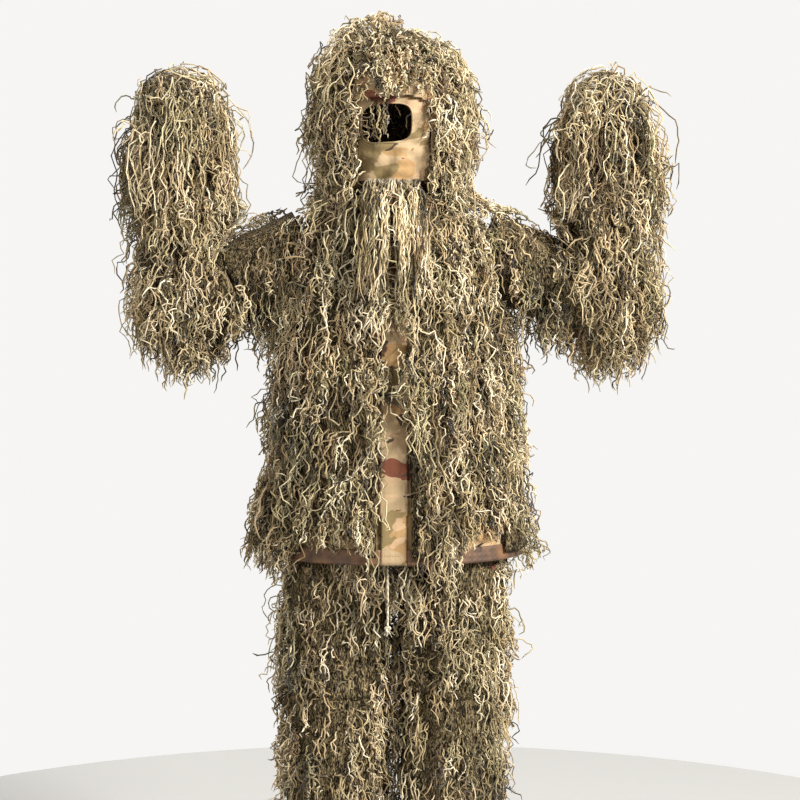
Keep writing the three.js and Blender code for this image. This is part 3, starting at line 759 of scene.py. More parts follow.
# height, half-width, half-depth and the centre's y of each outline, in metres
JACKET_LEVELS = (
    (-0.640, 0.234, 0.164, 0.0), (-0.467, 0.211, 0.148, 0.0), (-0.243, 0.194, 0.136, 0.0),
    (-0.110, 0.185, 0.130, 0.0), (-0.040, 0.165, 0.116, 0.0), (0.0, 0.119, 0.112, 0.006),
)
COLLAR_LEVELS = ((-0.014, 0.106, 0.111, 0.012), (0.020, 0.106, 0.111, 0.012))
HOOD_LEVELS = (
    (0.0203, 0.105, 0.110, 0.012), (0.090, 0.118, 0.127, 0.013), (0.165, 0.124, 0.137, 0.014),
    (0.229, 0.117, 0.129, 0.015), (0.276, 0.089, 0.101, 0.0155), (0.302, 0.050, 0.058, 0.016),
    (0.3103, 0.007, 0.008, 0.016),
)
HIP_LEVELS = ((-0.650, 0.176, 0.118, 0.0), (-0.555, 0.169, 0.1155, 0.0), (-0.425, 0.162, 0.113, 0.0))
LEG_CENTRE = 0.115
LEG_LEVELS = ((-1.410, 0.064, 0.064, 0.0), (-0.735, 0.076, 0.076, 0.0), (-0.650, 0.082, 0.108, 0.0))
FACE_HALF_WIDTH = 0.067
PLACKET = 0.024
# the lowest edge of the jacket's cloth
CLOTH_LOW = -0.6395
SHOULDER = Vector((0.185, 0.0, -0.09))
ELBOW = Vector((0.38964, 0.0, -0.18111))
KNEE_Z = -0.97
ARM_DOWN = Vector((0.9135, 0.0, -0.4067))
CREASE = 0.092
# the cloth over a joint of the left side: its two bodies, and where its bend starts and ends
JOINTS = {
    "shoulder": ("jacket", "upper_arm_{}", (0.170, 0, -0.083), (0.262, 0, -0.124)),
    "elbow": ("upper_arm_{}", "forearm_{}", (0.3166, 0, -0.1486), (0.3896, 0, -0.1011)),
    "hip": ("hips", "thigh_{}", (LEG_CENTRE, 0, -0.60), (LEG_CENTRE, 0, -0.735)),
    "knee": ("thigh_{}", "shin_{}", (LEG_CENTRE, 0, KNEE_Z + 0.065), (LEG_CENTRE, 0, KNEE_Z - 0.065)),
}
CORD_ROUTE = (
    (-0.011, -0.1118, -0.4425), (-0.011, -0.1158, -0.4425), (-0.011, -0.1218, -0.4565),
    (-0.011, -0.128, -0.495), (-0.011, -0.136, -0.570), (-0.011, -0.142, -0.630),
    (-0.011, -0.145, -0.690), (-0.011, -0.145, -0.7517),
)
CORD_DIAMETER = 0.004
KNOT_CENTRE = Vector((-0.011, -0.145, -0.758))


def level_at(levels, height):
    """Half-width, half-depth and centre y of the suit's outline at one height."""
    heights, *columns = zip(*levels)
    return [float(np.interp(height, heights, column)) for column in columns]


def ring_of(levels, height, grow=0.0, x=0.0):
    width, depth, y = level_at(levels, height)
    return Matrix.Translation((x, y, height)) @ Matrix.Diagonal((width + grow, depth + grow, 1, 1))


def rings_of(levels, low, high, step=0.013, grow=0.0, x=0.0):
    count = max(2, round((high - low) / step) + 1)
    return [ring_of(levels, z, grow, x) for z in np.linspace(low, high, count)]


def front_of(levels, x, height, grow=0.0):
    """The y of an outline's front at one place across it."""
    width, depth, y = level_at(levels, height)
    share = min(0.98, abs(x) / (width + grow))
    return y - (depth + grow) * math.sqrt(1 - share * share)


def on_side(vector, sign):
    return Vector((sign * vector[0], vector[1], vector[2]))


def joint_bend(joint, side, sign):
    upper, lower, start, end = JOINTS[joint]
    return upper.format(side), lower.format(side), on_side(start, sign), on_side(end, sign)


def arm_rings(sign, grow, part):
    """The rings of a sleeve: down the upper arm, round the bent elbow and up the forearm."""
    upper, lower = [], []
    down = on_side(ARM_DOWN, sign)
    shoulder, elbow = on_side(SHOULDER, sign), on_side(ELBOW, sign)
    for reach in np.linspace(-0.03, 0.12, 11):
        radius = 0.067 - 0.004 * reach / 0.12 + grow
        upper.append(ring_matrix(shoulder + down * reach, down, radius, radius))
    crease = elbow + Vector((-sign * 0.062, 0, CREASE + 0.004))
    for turn in np.linspace(0.06, 1, 13):
        angle = math.radians(114) * turn
        direction = (Matrix.Rotation(-sign * angle, 3, "Y") @ down).normalized()
        outward = direction.cross(Vector((0, 1, 0))) * -sign
        far = 0.122 + 0.030 * math.sin(math.pi * turn) + grow
        centre = crease + outward * far / 2
        lower.append(ring_matrix(centre, direction, far / 2, 0.061 + grow))
    for height in np.linspace(elbow.z + CREASE + 0.014, 0.066, 11):
        radius = float(np.interp(height, (elbow.z, 0.064), (0.060, 0.049))) + grow
        lower.append(ring_matrix(Vector((elbow.x, 0, height)), (0, 0, 1), radius, radius))
    return {"upper": upper, "lower": upper[-1:] + lower}[part]


# ---------------------------------------------------------------- making pieces

def sheet_piece(
    name, bm, key, body, node=(), grain=0.05, folds=0.004, seed=1, thick=None,
):
    """Turns a bare sheet into a cloth piece: folds, thickness, finish, body and the CAD nodes that it stands
    for."""
    crumple(bm, grain, folds, seed, (1, 1, 0.45))
    crumple(bm, grain * 0.35, folds * 0.3, seed + 5, (1, 1, 0.6))
    area = cloth_area(bm)
    thicken(bm, thick or cloth_settings().thickness)
    piece = object_from(bm, name, key)
    if isinstance(body, str):
        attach(piece, body)
    else:
        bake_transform(piece)
    if node:
        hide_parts(*([node] if isinstance(node, str) else node))
    return piece


def part_of_loft(rings, keep, segments=96):
    bm = loft(rings, segments)
    delete_faces(bm, lambda place: not keep(place))
    return bm


def tube_along(points, radius, sides):
    """A thin solid rod of thread or rolled cloth that follows some points."""
    places = [Vector(p) for p in points]
    rings = []
    for i, place in enumerate(places):
        before = places[max(0, i - 1)]
        after = places[min(len(places) - 1, i + 1)]
        direction = (after - before).normalized()
        hint = (0, 1, 0) if abs(direction.y) < 0.9 else (1, 0, 0)
        across = direction.cross(Vector(hint)).normalized()
        rings.append(ring_matrix(place, direction, radius, radius, direction.cross(across)))
    bm = loft(rings, sides)
    ends = [e for e in bm.edges if e.is_boundary]
    bmesh.ops.holes_fill(bm, edges=ends, sides=0)
    bmesh.ops.recalc_face_normals(bm, faces=bm.faces)
    return bm


def add_bmesh(target, source):
    """Puts one bmesh into another."""
    mesh = bpy.data.meshes.new("part")
    source.to_mesh(mesh)
    source.free()
    target.from_mesh(mesh)
    bpy.data.meshes.remove(mesh)


def stitch_row(bm, points, length=3.2 * MM, gap=1.6 * MM, width=0.9 * MM):
    """Sews a row of lock stitches along some points."""
    places = np.array(points)
    reach = np.concatenate([[0], np.cumsum(np.linalg.norm(np.diff(places, axis=0), axis=1))])
    start = 0.0
    while start + length < reach[-1]:
        a, b = (Vector(np.interp(t, reach, places[:, i]) for i in range(3)) for t in (start, start + length))
        turn = (b - a).to_track_quat("X", "Z").to_matrix().to_4x4()
        size = Matrix.Diagonal((length, width, width, 1))
        bmesh.ops.create_icosphere(
            bm, subdivisions=1, radius=0.5, matrix=Matrix.Translation((a + b) / 2) @ turn @ size,
        )
        start += length + gap


def stitch_piece(name, rows, body):
    bm = bmesh.new()
    for row in rows:
        stitch_row(bm, row)
    piece = object_from(bm, name, "thread")
    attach(piece, body)
    return piece


def net_under(name, bm, body, seed, depth=0.009):
    """The matted net that the strands are tied to, dark as painted shade between the strands."""
    return sheet_piece(name, bm, "net", body, grain=0.03, folds=depth, seed=seed)


# ---------------------------------------------------------------- operators

class GHILLIE_OT_stage(bpy.types.Operator):
    """Sets up the camera, the lights and the paper"""

    bl_idname = "ghillie.stage"
    bl_label = "Stage"

    def execute(self, context):
        settings = context.scene.ghillie_stage
        data = bpy.data.cameras.new("camera")
        data.lens = settings.lens
        data.sensor_width = 36
        camera = bpy.data.objects.new("camera", data)
        camera.location = (0.011, -settings.width * settings.lens / 36, settings.height)
        aim = Vector((0.011, 0, -0.356)) - camera.location
        camera.rotation_euler = aim.to_track_quat("-Z", "Y").to_euler()
        context.scene.collection.objects.link(camera)
        context.scene.camera = camera
        target = Vector((0, 0, -0.4))
        lamps = (
            ("key", (3.6, -3.0, 2.2), 1.4, 620.0), ("fill", (-3.4, -3.2, 0.6), 3.0, 60.0),
            ("top", (0.6, 1.6, 3.0), 2.0, 90.0), ("back", (-2.6, 3.4, 1.2), 2.5, 110.0),
        )
        for name, place, size, power in lamps:
            lamp = bpy.data.lights.new(name, "AREA")
            lamp.size = size
            lamp.energy = power
            lamp_object = bpy.data.objects.new(name, lamp)
            lamp_object.location = place
            lamp_object.rotation_euler = (target - Vector(place)).to_track_quat("-Z", "Y").to_euler()
            context.scene.collection.objects.link(lamp_object)
        world = bpy.data.worlds.new("studio")
        world.use_nodes = True
        context.scene.world = world
        tree = world.node_tree
        dim = tree.nodes["Background"]
        dim.inputs["Color"].default_value = linear("#f4f2ee")
        dim.inputs["Strength"].default_value = 0.40
        bright = add_node(tree, "ShaderNodeBackground", values={"Color": linear("#f6f5f3"), "Strength": 1.0})
        seen = add_node(tree, "ShaderNodeLightPath")
        both = add_node(
            tree, "ShaderNodeMixShader",
            {0: seen.outputs["Is Camera Ray"], 1: dim.outputs[0], 2: bright.outputs[0]},
        )
        tree.links.new(both.outputs[0], tree.nodes["World Output"].inputs["Surface"])
        context.scene.view_settings.view_transform = "Standard"
        bm = bmesh.new()
        bmesh.ops.create_circle(
            bm, cap_ends=True, segments=96, radius=1.75, matrix=Matrix.Translation((0, 0, -1.4425)),
        )
        object_from(bm, "floor_paper", "paper", smooth=False)
        return {"FINISHED"}


class GHILLIE_OT_drawstring(bpy.types.Operator):
    """Hangs the free end of the waist cord, with its knot and frayed tip"""

    bl_idname = "ghillie.drawstring"
    bl_label = "Drawstring"

    def execute(self, context):
        route = np.array(CORD_ROUTE)
        padded = np.vstack([2 * route[0] - route[1], route, 2 * route[-1] - route[-2]])
        line = []
        for i in range(1, len(padded) - 2):
            a, b, c, d = padded[i - 1:i + 3]
            for t in np.linspace(0, 1, 5, endpoint=False):
                line.append(
                    0.5 * (2 * b + (c - a) * t + (2 * a - 5 * b + 4 * c - d) * t ** 2
                           + (3 * b - a - 3 * c + d) * t ** 3)
                )
        line = np.array(line + [route[-1]])
        curve = bpy.data.curves.new("drawstring_cord", "CURVE")
        curve.dimensions = "3D"
        curve.bevel_depth = CORD_DIAMETER / 2
        curve.bevel_resolution = 3
        curve.use_fill_caps = True
        spline = curve.splines.new("POLY")
        spline.points.add(len(line) - 1)
        for point, place in zip(spline.points, line):
            point.co = (*place, 1.0)
        curve.materials.append(finish("cord"))
        cord = bpy.data.objects.new("drawstring_cord", curve)
        context.scene.collection.objects.link(cord)
        # an overhand knot: the cord passes twice round and once through
        loop = []
        for t in np.linspace(0, 2 * math.pi, 40):
            x = math.sin(t) + 2 * math.sin(2 * t)
            z = math.cos(t) - 2 * math.cos(2 * t)
            loop.append(KNOT_CENTRE + Vector((x, -math.sin(3 * t) * 1.3, z)) * 1.55 * MM)
        bm = tube_along(loop, CORD_DIAMETER / 2, 8)
        rng = np.random.default_rng(3)
        for _ in range(16):
            tip = rng.normal(0, 1, 2) * 2.6 * MM
            reach = rng.uniform(6, 11) * MM
            start = KNOT_CENTRE + Vector((tip[0] * 0.4, tip[1] * 0.4, -3 * MM))
            frayed = [start + Vector((tip[0] * t, tip[1] * t, -reach * t)) for t in np.linspace(0, 1, 4)]
            add_bmesh(bm, tube_along(frayed, 0.45 * MM, 4))
        knot = object_from(bm, "drawstring_end", "cord")
        for piece, node in ((cord, "drawstring"), (knot, "drawstring_knot")):
            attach(piece, "hips")
            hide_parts(node)
        return {"FINISHED"}


def in_sleeve(place):
    """Whether a place on the jacket lies inside a sleeve."""
    side = Vector((abs(place.x), place.y, place.z))
    along = (side - SHOULDER).dot(ARM_DOWN)
    across = (side - SHOULDER - ARM_DOWN * along).length
    return along > -0.08 and across < 0.064


def hem_reach(place):
    """How low the jacket's strands reach: short of the hem tape where it shows."""
    if place[1] < 0 and -0.17 < place[0] < -0.05:
        return -0.612
    if place[1] < 0 and 0.10 < place[0] < 0.205:
        return -0.625 + 0.5 * (place[0] - 0.10)
    return -0.668


class GHILLIE_OT_jacket_cloth(bpy.types.Operator):
    """Sews the jacket's back, fronts, collar, plackets and hem bands"""

    bl_idname = "ghillie.jacket_cloth"
    bl_label = "Jacket cloth"

    def execute(self, context):
        low, high = CLOTH_LOW, -0.001
        parts = (
            ("jacket_back", lambda p: p.y > 0, 11),
            ("jacket_front_left", lambda p: p.y <= 0 and p.x > -0.02, 12),
            ("jacket_front_right", lambda p: p.y <= 0 and p.x < 0.01, 13),
        )
        for node, keep, seed in parts:
            rings = rings_of(JACKET_LEVELS, low, high, grow=-1 * MM if node.endswith("right") else 0)
            bm = part_of_loft(rings, lambda p, keep=keep: keep(p) and not in_sleeve(p))
            sheet_piece(f"{node}_cloth", bm, "cloth", "jacket", node, seed=seed, folds=0.003)
            rings = rings_of(JACKET_LEVELS, low + 0.014, -0.004, grow=15 * MM)
            centre = 0.034 if "front" in node else 0.0
            bm = part_of_loft(
                rings,
                lambda p, keep=keep, c=centre: (
                    keep(p) and not in_sleeve(p) and not (p.y < 0 and abs(p.x) < c)
                    and p.z > hem_reach(p) + 0.02
                ),
            )
            net_under(f"{node}_net", bm, "jacket", seed + 20)
        rings = rings_of(COLLAR_LEVELS, -0.0135, 0.0195, 0.004)
        sheet_piece(
            "collar_cloth", loft(rings, 96), "cloth", "jacket", "collar_band",
            grain=0.03, folds=0.002,
        )
        self.plackets()
        self.hems()
        return {"FINISHED"}

    def plackets(self):
        def strip(grow, low):
            rings = rings_of(JACKET_LEVELS, low, -0.03, 0.008, grow)
            bm = loft(rings, 384)
            delete_faces(bm, lambda p: p.y > 0 or abs(p.x) > PLACKET)
            return bm

        sheet_piece(
            "placket_outer", strip(3.4 * MM, CLOTH_LOW), "cloth", "jacket", "placket_left",
            grain=0.03, folds=0.003, seed=31, thick=2 * MM,
        )
        sheet_piece(
            "placket_inner", strip(-5 * MM, -0.638), "cloth", "jacket", "placket_right",
            grain=0.03, folds=0.0015, seed=32,
        )
        rows = []
        for x in (-PLACKET + 3 * MM, PLACKET - 3 * MM):
            heights = np.linspace(-0.636, -0.034, 160)
            rows.append([(x, front_of(JACKET_LEVELS, x, z, 5.2 * MM), z) for z in heights])
        across = np.linspace(-PLACKET + 3 * MM, PLACKET - 3 * MM, 12)
        rows.append([(x, front_of(JACKET_LEVELS, x, -0.622, 5.4 * MM), -0.622) for x in across])
        stitch_piece("placket_stitching", rows, "jacket")

    def hems(self):
        parts = (
            ("hem_band_back", lambda p: p.y > 0),
            ("hem_band_left", lambda p: p.y <= 0 and p.x > PLACKET + 1 * MM),
            ("hem_band_right", lambda p: p.y <= 0 and p.x < -PLACKET - 1 * MM),
        )
        for node, keep in parts:
            rings = rings_of(JACKET_LEVELS, -0.6398, -0.612, 0.0035, 2.6 * MM)
            sheet_piece(
                f"{node}_tape", part_of_loft(rings, keep, 192), "hem", "jacket", node,
                grain=0.04, folds=0.002, seed=41, thick=2 * MM,
            )
        rows = []
        turns = np.radians(np.linspace(-80, 80, 120)) + math.radians(90)
        for height in (-0.636, -0.616):
            width, depth, _ = level_at(JACKET_LEVELS, height)
            width, depth = width + 4.2 * MM, depth + 4.2 * MM
            rows.append([(width * math.cos(t), depth * math.sin(t), height) for t in turns])
        stitch_piece("hem_stitching", rows, "jacket")


class GHILLIE_OT_press_studs(bpy.types.Operator):
    """Sets the press studs into the placket"""

    bl_idname = "ghillie.press_studs"
    bl_label = "Press studs"

    def execute(self, context):
        for number in (1, 2):
            node = f"press_stud_cap_{number}"
            low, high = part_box(node)
            centre = (low + high) / 2
            radius = (high.x - low.x) / 2
            bm = bmesh.new()
            # half of the cap's section: a rolled rim round a low dome
            section = (
                (0.0, 1.7), (0.45, 1.6), (0.72, 1.25), (0.8, 0.9), (0.88, 1.15), (1.0, 0.8), (1.0, 0.1),
                (0.0, 0.0),
            )
            verts = [bm.verts.new((share * radius, 0, rise * MM)) for share, rise in section]
            edges = [bm.edges.new(pair) for pair in zip(verts, verts[1:])]
            bmesh.ops.spin(
                bm, geom=verts + edges, cent=(0, 0, 0), axis=(0, 0, 1), angle=2 * math.pi, steps=32,
                use_merge=True,
            )
            bmesh.ops.remove_doubles(bm, verts=bm.verts, dist=0.01 * MM)
            bmesh.ops.recalc_face_normals(bm, faces=bm.faces)
            place = Matrix.Translation((centre.x, high.y - 1 * MM, centre.z))
            turned = place @ Matrix.Rotation(math.radians(90), 4, "X")
            bmesh.ops.transform(bm, matrix=turned, verts=bm.verts)
            cap = object_from(bm, f"stud_cap_{number}", "brass")
            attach(cap, "jacket")
            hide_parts(node)
            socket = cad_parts[f"press_stud_socket_{number}"]
            socket.data.materials.clear()
            socket.data.materials.append(finish("brass"))
        return {"FINISHED"}


def in_face(place, margin=0.0, top=0.195):
    return place.y < 0 and abs(place.x) < FACE_HALF_WIDTH + margin and place.z < top + margin


def brow_edge(x):
    """The brim's lower edge: it arches over the face."""
    return 0.1945 - 1.6 * x * x + 1.5 * MM * math.sin(x * 70)


class GHILLIE_OT_hood_cloth(bpy.types.Operator):
    """Sews the hood's shell, its brow band and the net under its yarn"""

    bl_idname = "ghillie.hood_cloth"
    bl_label = "Hood cloth"

    def execute(self, context):
        for name, grow, low, top, key in (
            ("hood_cloth", -0.5 * MM, 0.021, 0.195, "cloth"), ("hood_net", 13 * MM, 0.03, 0.268, "net"),
        ):
            heights = np.concatenate([np.linspace(low, 0.29, 26), [0.298, 0.304, 0.308, 0.31]])
            rings = []
            for z in heights:
                share = min(1.0, max(0.0, (z - 0.165) / 0.145))
                rings.append(ring_of(HOOD_LEVELS, z, grow * (1 - 0.6 * share)))
                rings[-1].translation.z += grow * share
            bm = loft(rings, 96)
            highest = max(v.co.z for v in bm.verts)
            edges = [e for e in bm.edges if e.is_boundary and e.verts[0].co.z > highest - 1e-5]
            crown = bmesh.ops.contextual_create(bm, geom=edges)["faces"]
            bmesh.ops.poke(bm, faces=crown)
            delete_faces(bm, lambda p, top=top, key=key: in_face(p, 0.006 if key == "net" else 0.0, top))
            if key == "cloth":
                sheet_piece(name, bm, key, "hood", "hood_shell", folds=0.002, seed=51)
            else:
                net_under(name, bm, "hood", 52, 0.007)
        heights = np.linspace(0.184, 0.264, 22)
        rings = [ring_of(HOOD_LEVELS, z, (2.2 + 120 * (0.264 - z)) * MM) for z in heights]
        bm = loft(rings, 192)
        delete_faces(bm, lambda p: p.y > 0 or abs(p.x) > FACE_HALF_WIDTH + 5 * MM or p.z < brow_edge(p.x))
        sheet_piece(
            "brow_cloth", bm, "cloth", "hood", "brow_band", grain=0.035, folds=0.004,
            seed=53, thick=2 * MM,
        )
        across = np.linspace(-0.063, 0.063, 60)
        rows = [
            [
                (x, front_of(HOOD_LEVELS, x, z, (4.6 + 120 * (0.264 - z)) * MM), z)
                for x, z in zip(across, [brow_edge(x) + lift for x in across])
            ]
            for lift in (0.005, 0.0105)
        ]
        stitch_piece("brow_stitching", rows, "hood")
        return {"FINISHED"}


VEIL_LOW, VEIL_HIGH = 0.046, 0.1945
# the eye window: its middle, its half-width and half-height, how square it is, and its lean
WINDOW = (-0.0125, 0.1465, 0.046, 0.035)
WINDOW_SQUARE = 3.6
WINDOW_LEAN = 0.06


def veil_place(x, z):
    """Where the hung veil lies: on the hood's outline, with folds that deepen towards the chin."""
    slack = max(0.0, (0.118 - z) / 0.07)
    fold = math.sin(x * 130 + 1.6 * math.sin(z * 40)) * 4.6 * MM * slack
    sag = 5 * MM * slack * math.cos(x / 0.064 * 1.5)
    ripple = noise.noise(Vector((x * 38, 3.3, z * 62))) * 4.2 * MM
    return Vector((x, front_of(HOOD_LEVELS, x, z, -1 * MM) - fold - sag - ripple, z))


class GHILLIE_OT_veil(bpy.types.Operator):
    """Sews the face veil with its eye window, and ties the beard of long strands to it"""

    bl_idname = "ghillie.veil"
    bl_label = "Face veil"

    def execute(self, context):
        bm = bmesh.new()
        bmesh.ops.create_grid(bm, x_segments=72, y_segments=84, size=0.5)
        for v in bm.verts:
            v.co = veil_place(v.co.x * 0.127, VEIL_LOW + (v.co.y + 0.5) * (VEIL_HIGH - VEIL_LOW))
        cx, cz, rx, rz = WINDOW

        def in_window(place):
            across = place.x - cx
            up = place.z - cz - WINDOW_LEAN * across
            return abs(across / rx) ** WINDOW_SQUARE + abs(up / rz) ** WINDOW_SQUARE < 1

        delete_faces(bm, in_window)
        sheet_piece(
            "veil_cloth", bm, "cloth", "veil", "face_veil", grain=0.02, folds=0.0012,
            seed=61,
        )
        turns = np.linspace(0, 2 * math.pi, 90)
        rim = []
        for t in turns:
            c, s = math.cos(t), math.sin(t)
            reach = (abs(c) ** WINDOW_SQUARE + abs(s) ** WINDOW_SQUARE) ** (-1 / WINDOW_SQUARE)
            across = rx * c * reach
            place = veil_place(cx + across, cz + rz * s * reach + WINDOW_LEAN * across)
            rim.append(place + Vector((0, -0.4 * MM, 0)))
        bm = tube_along(rim, 1.9 * MM, 8)
        across = np.linspace(-0.0625, 0.0625, 70)
        add_bmesh(bm, tube_along([veil_place(x, VEIL_LOW + 1 * MM) for x in across], 2.3 * MM, 8))
        rolled = object_from(bm, "veil_rolled_edge", "cloth")
        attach(rolled, "veil")
        lines = [
            [veil_place(x, VEIL_LOW + 7 * MM) + Vector((0, -0.7 * MM, 0)) for x in across],
            [veil_place(x, VEIL_HIGH - 5 * MM) + Vector((0, -0.7 * MM, 0)) for x in across],
            [
                veil_place(cx + (p.x - cx) * 1.09, cz + (p.z - cz) * 1.13) + Vector((0, -0.7 * MM, 0))
                for p in rim
            ],
        ]
        stitch_piece("veil_stitching", lines, "veil")
        self.beard()
        return {"FINISHED"}

    def beard(self):
        rng = np.random.default_rng(yarn_settings().seed * 1000 + 62)
        count = strand_count(420)
        tufts = count // TUFT
        tuft = rng.integers(0, tufts, count)
        x = np.clip(rng.uniform(-0.05, 0.044, tufts)[tuft] + rng.normal(0, 3, count) * MM, -0.054, 0.05)
        z = VEIL_LOW + rng.uniform(-2, 2.5, tufts)[tuft] * MM
        roots = np.array([veil_place(a, b) + Vector((0, -1.5 * MM, 0)) for a, b in zip(x, z)])
        normals = np.tile([0.0, -1.0, 0.0], (count, 1))
        lean = rng.normal(0, 0.2, tufts)[tuft] + rng.normal(0, 0.12, count)
        start = unit(np.stack([lean, rng.uniform(-0.9, -0.2, count), np.full(count, -0.8)], 1))
        lengths = rng.uniform(0.12, 0.262, tufts)[tuft] * rng.uniform(0.7, 1.02, count)
        lifts = rng.uniform(0.044, 0.064, tufts)[tuft]
        lines = comb(roots, normals, lengths, lifts, rng, tuft, 0.42, 0.42, start, 7.0)
        # a paler bunch hangs just off the middle
        paler = -0.13 + 0.24 * np.exp(-((x - 0.012) / 0.02) ** 2)
        beard = strands_mesh("beard_strands", lines, rng, tuft, paler)
        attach(beard, "veil")
        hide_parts("beard_yarn")
        # a few strands hang from the brow over the window
        count = strand_count(12)
        tuft = rng.integers(0, 3, count)
        x = np.clip(rng.normal(-0.022, 0.009, count), -0.05, 0.05)
        z = rng.uniform(0.185, 0.193, count)
        roots = np.array([veil_place(a, b) + Vector((0, -1.5 * MM, 0)) for a, b in zip(x, z)])
        start = unit(np.stack([rng.normal(0, 0.2, count), np.full(count, -0.5), np.full(count, -1.0)], 1))
        lengths, lifts = rng.uniform(0.05, 0.1, count), rng.uniform(2, 7, count) * MM
        lines = comb(roots, normals[:count], lengths, lifts, rng, tuft, 0.7, 0.5, start)
        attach(strands_mesh("nose_strands", lines, rng, tuft, 0.05), "veil")


class GHILLIE_OT_sleeves(bpy.types.Operator):
    """Sews the sleeves and cuffs, with the net under their yarn"""

    bl_idname = "ghillie.sleeves"
    bl_label = "Sleeves"

    def execute(self, context):
        for side, sign in SIDES:
            shoulder = joint_bend("shoulder", side, sign)
            elbow = joint_bend("elbow", side, sign)
            sheet_piece(
                f"sleeve_top_{side}", loft(arm_rings(sign, 0, "upper"), 64), "cloth", shoulder,
                (f"shoulder_gusset_{side}", f"upper_sleeve_{side}"), seed=71, folds=0.003,
            )
            sheet_piece(
                f"sleeve_end_{side}", loft(arm_rings(sign, 0, "lower"), 64), "cloth", elbow,
                (f"elbow_gusset_{side}", f"forearm_sleeve_{side}"), seed=72, folds=0.003,
            )
            bm = loft(arm_rings(sign, 7 * MM, "upper"), 64)
            net_under(f"sleeve_top_net_{side}", bm, shoulder, 73, 0.004)
            bm = loft(arm_rings(sign, 13 * MM, "lower"), 64)
            net_under(f"sleeve_end_net_{side}", bm, elbow, 74, 0.008)
            x = sign * ELBOW.x
            rings = [
                Matrix.Translation((x, 0, z)) @ Matrix.Diagonal((r, r, 1, 1))
                for z, r in zip(np.linspace(0.07, 0.2, 12), np.linspace(0.056, 0.053, 12))
            ]
            net_under(f"hand_net_{side}", loft(rings, 48), f"forearm_{side}", 75, 0.004)
            bm = ribbed_tube(Vector((x, 0, 0.0645)), 0.0488, 0.0488, 0.0245, 48, 1.0 * MM)
            sheet_piece(
                f"cuff_rib_{side}", bm, "elastic", f"forearm_{side}", f"cuff_{side}", grain=0.03,
                folds=0.0005, seed=76,
            )
        return {"FINISHED"}


def ribbed_tube(low, rx, ry, height, ribs, depth):
    """A ribbed elastic band: each rib is one wave round the ring."""
    rings = [
        Matrix.Translation(low + Vector((0, 0, t * height))) @ Matrix.Diagonal((rx, ry, 1, 1))
        for t in np.linspace(0, 1, 8)
    ]
    bm = loft(rings, ribs * 4)
    for v in bm.verts:
        angle = math.atan2((v.co.y - low.y) / ry, (v.co.x - low.x) / rx)
        swell = depth * math.cos(angle * ribs)
        direction = Vector((v.co.x - low.x, v.co.y - low.y, 0)).normalized()
        v.co += direction * (swell - depth)
    return bm


class GHILLIE_OT_trousers(bpy.types.Operator):
    """Sews the trousers, their waistband and leg hems, with the net under their yarn"""

    bl_idname = "ghillie.trousers"
    bl_label = "Trousers"

    def execute(self, context):
        sheet_piece(
            "hips_shell", loft(rings_of(HIP_LEVELS, -0.649, -0.4605), 96), "cloth", "hips",
            "hips_cloth", seed=81,
        )
        bm = ribbed_tube(Vector((0, 0, -0.4597)), 0.1615, 0.1125, 0.0345, 90, 1.2 * MM)
        sheet_piece(
            "waistband_rib", bm, "elastic", "hips", "waistband", grain=0.05, folds=0.0006,
            seed=82,
        )
        for side, sign in SIDES:
            x = sign * LEG_CENTRE
            hip = joint_bend("hip", side, sign)
            knee = joint_bend("knee", side, sign)
            top = rings_of(LEG_LEVELS, -0.9, -0.655, 0.014, 0, x)
            end = rings_of(LEG_LEVELS, -1.379, -0.9, 0.014, 0, x)
            sheet_piece(
                f"leg_top_{side}", loft(top, 64), "cloth", hip,
                (f"hip_gusset_{side}", f"thigh_cloth_{side}"), seed=83,
            )
            sheet_piece(
                f"leg_end_{side}", loft(end, 64), "cloth", knee,
                (f"knee_gusset_{side}", f"shin_cloth_{side}"), seed=84,
            )
            between = x - sign * LEG_NET_LEAN
            # the net's top draws in to the hips
            rings = [
                ring_of(LEG_LEVELS, z, LEG_NET_GAP * min(1.0, max(0.08, (-0.628 - z) / 0.075)), between)
                for z in np.linspace(-0.9, -0.62, 21)
            ]
            net_under(f"leg_top_net_{side}", loft(rings, 64), hip, 85)
            rings = rings_of(LEG_LEVELS, -1.36, -0.9, 0.014, LEG_NET_GAP, between)
            net_under(f"leg_end_net_{side}", loft(rings, 64), knee, 86)
            bm = ribbed_tube(Vector((x, 0, -1.4098)), 0.0645, 0.0645, 0.0295, 56, 1.0 * MM)
            sheet_piece(
                f"leg_rib_{side}", bm, "elastic", f"shin_{side}", f"leg_hem_{side}", grain=0.03,
                folds=0.0005, seed=87,
            )
        return {"FINISHED"}


def upper_arm_axis(sign):
    shoulder, down = np.array(on_side(SHOULDER, sign)), np.array(on_side(ARM_DOWN, sign))
    return lambda place: shoulder + down * np.dot(place - shoulder, down)


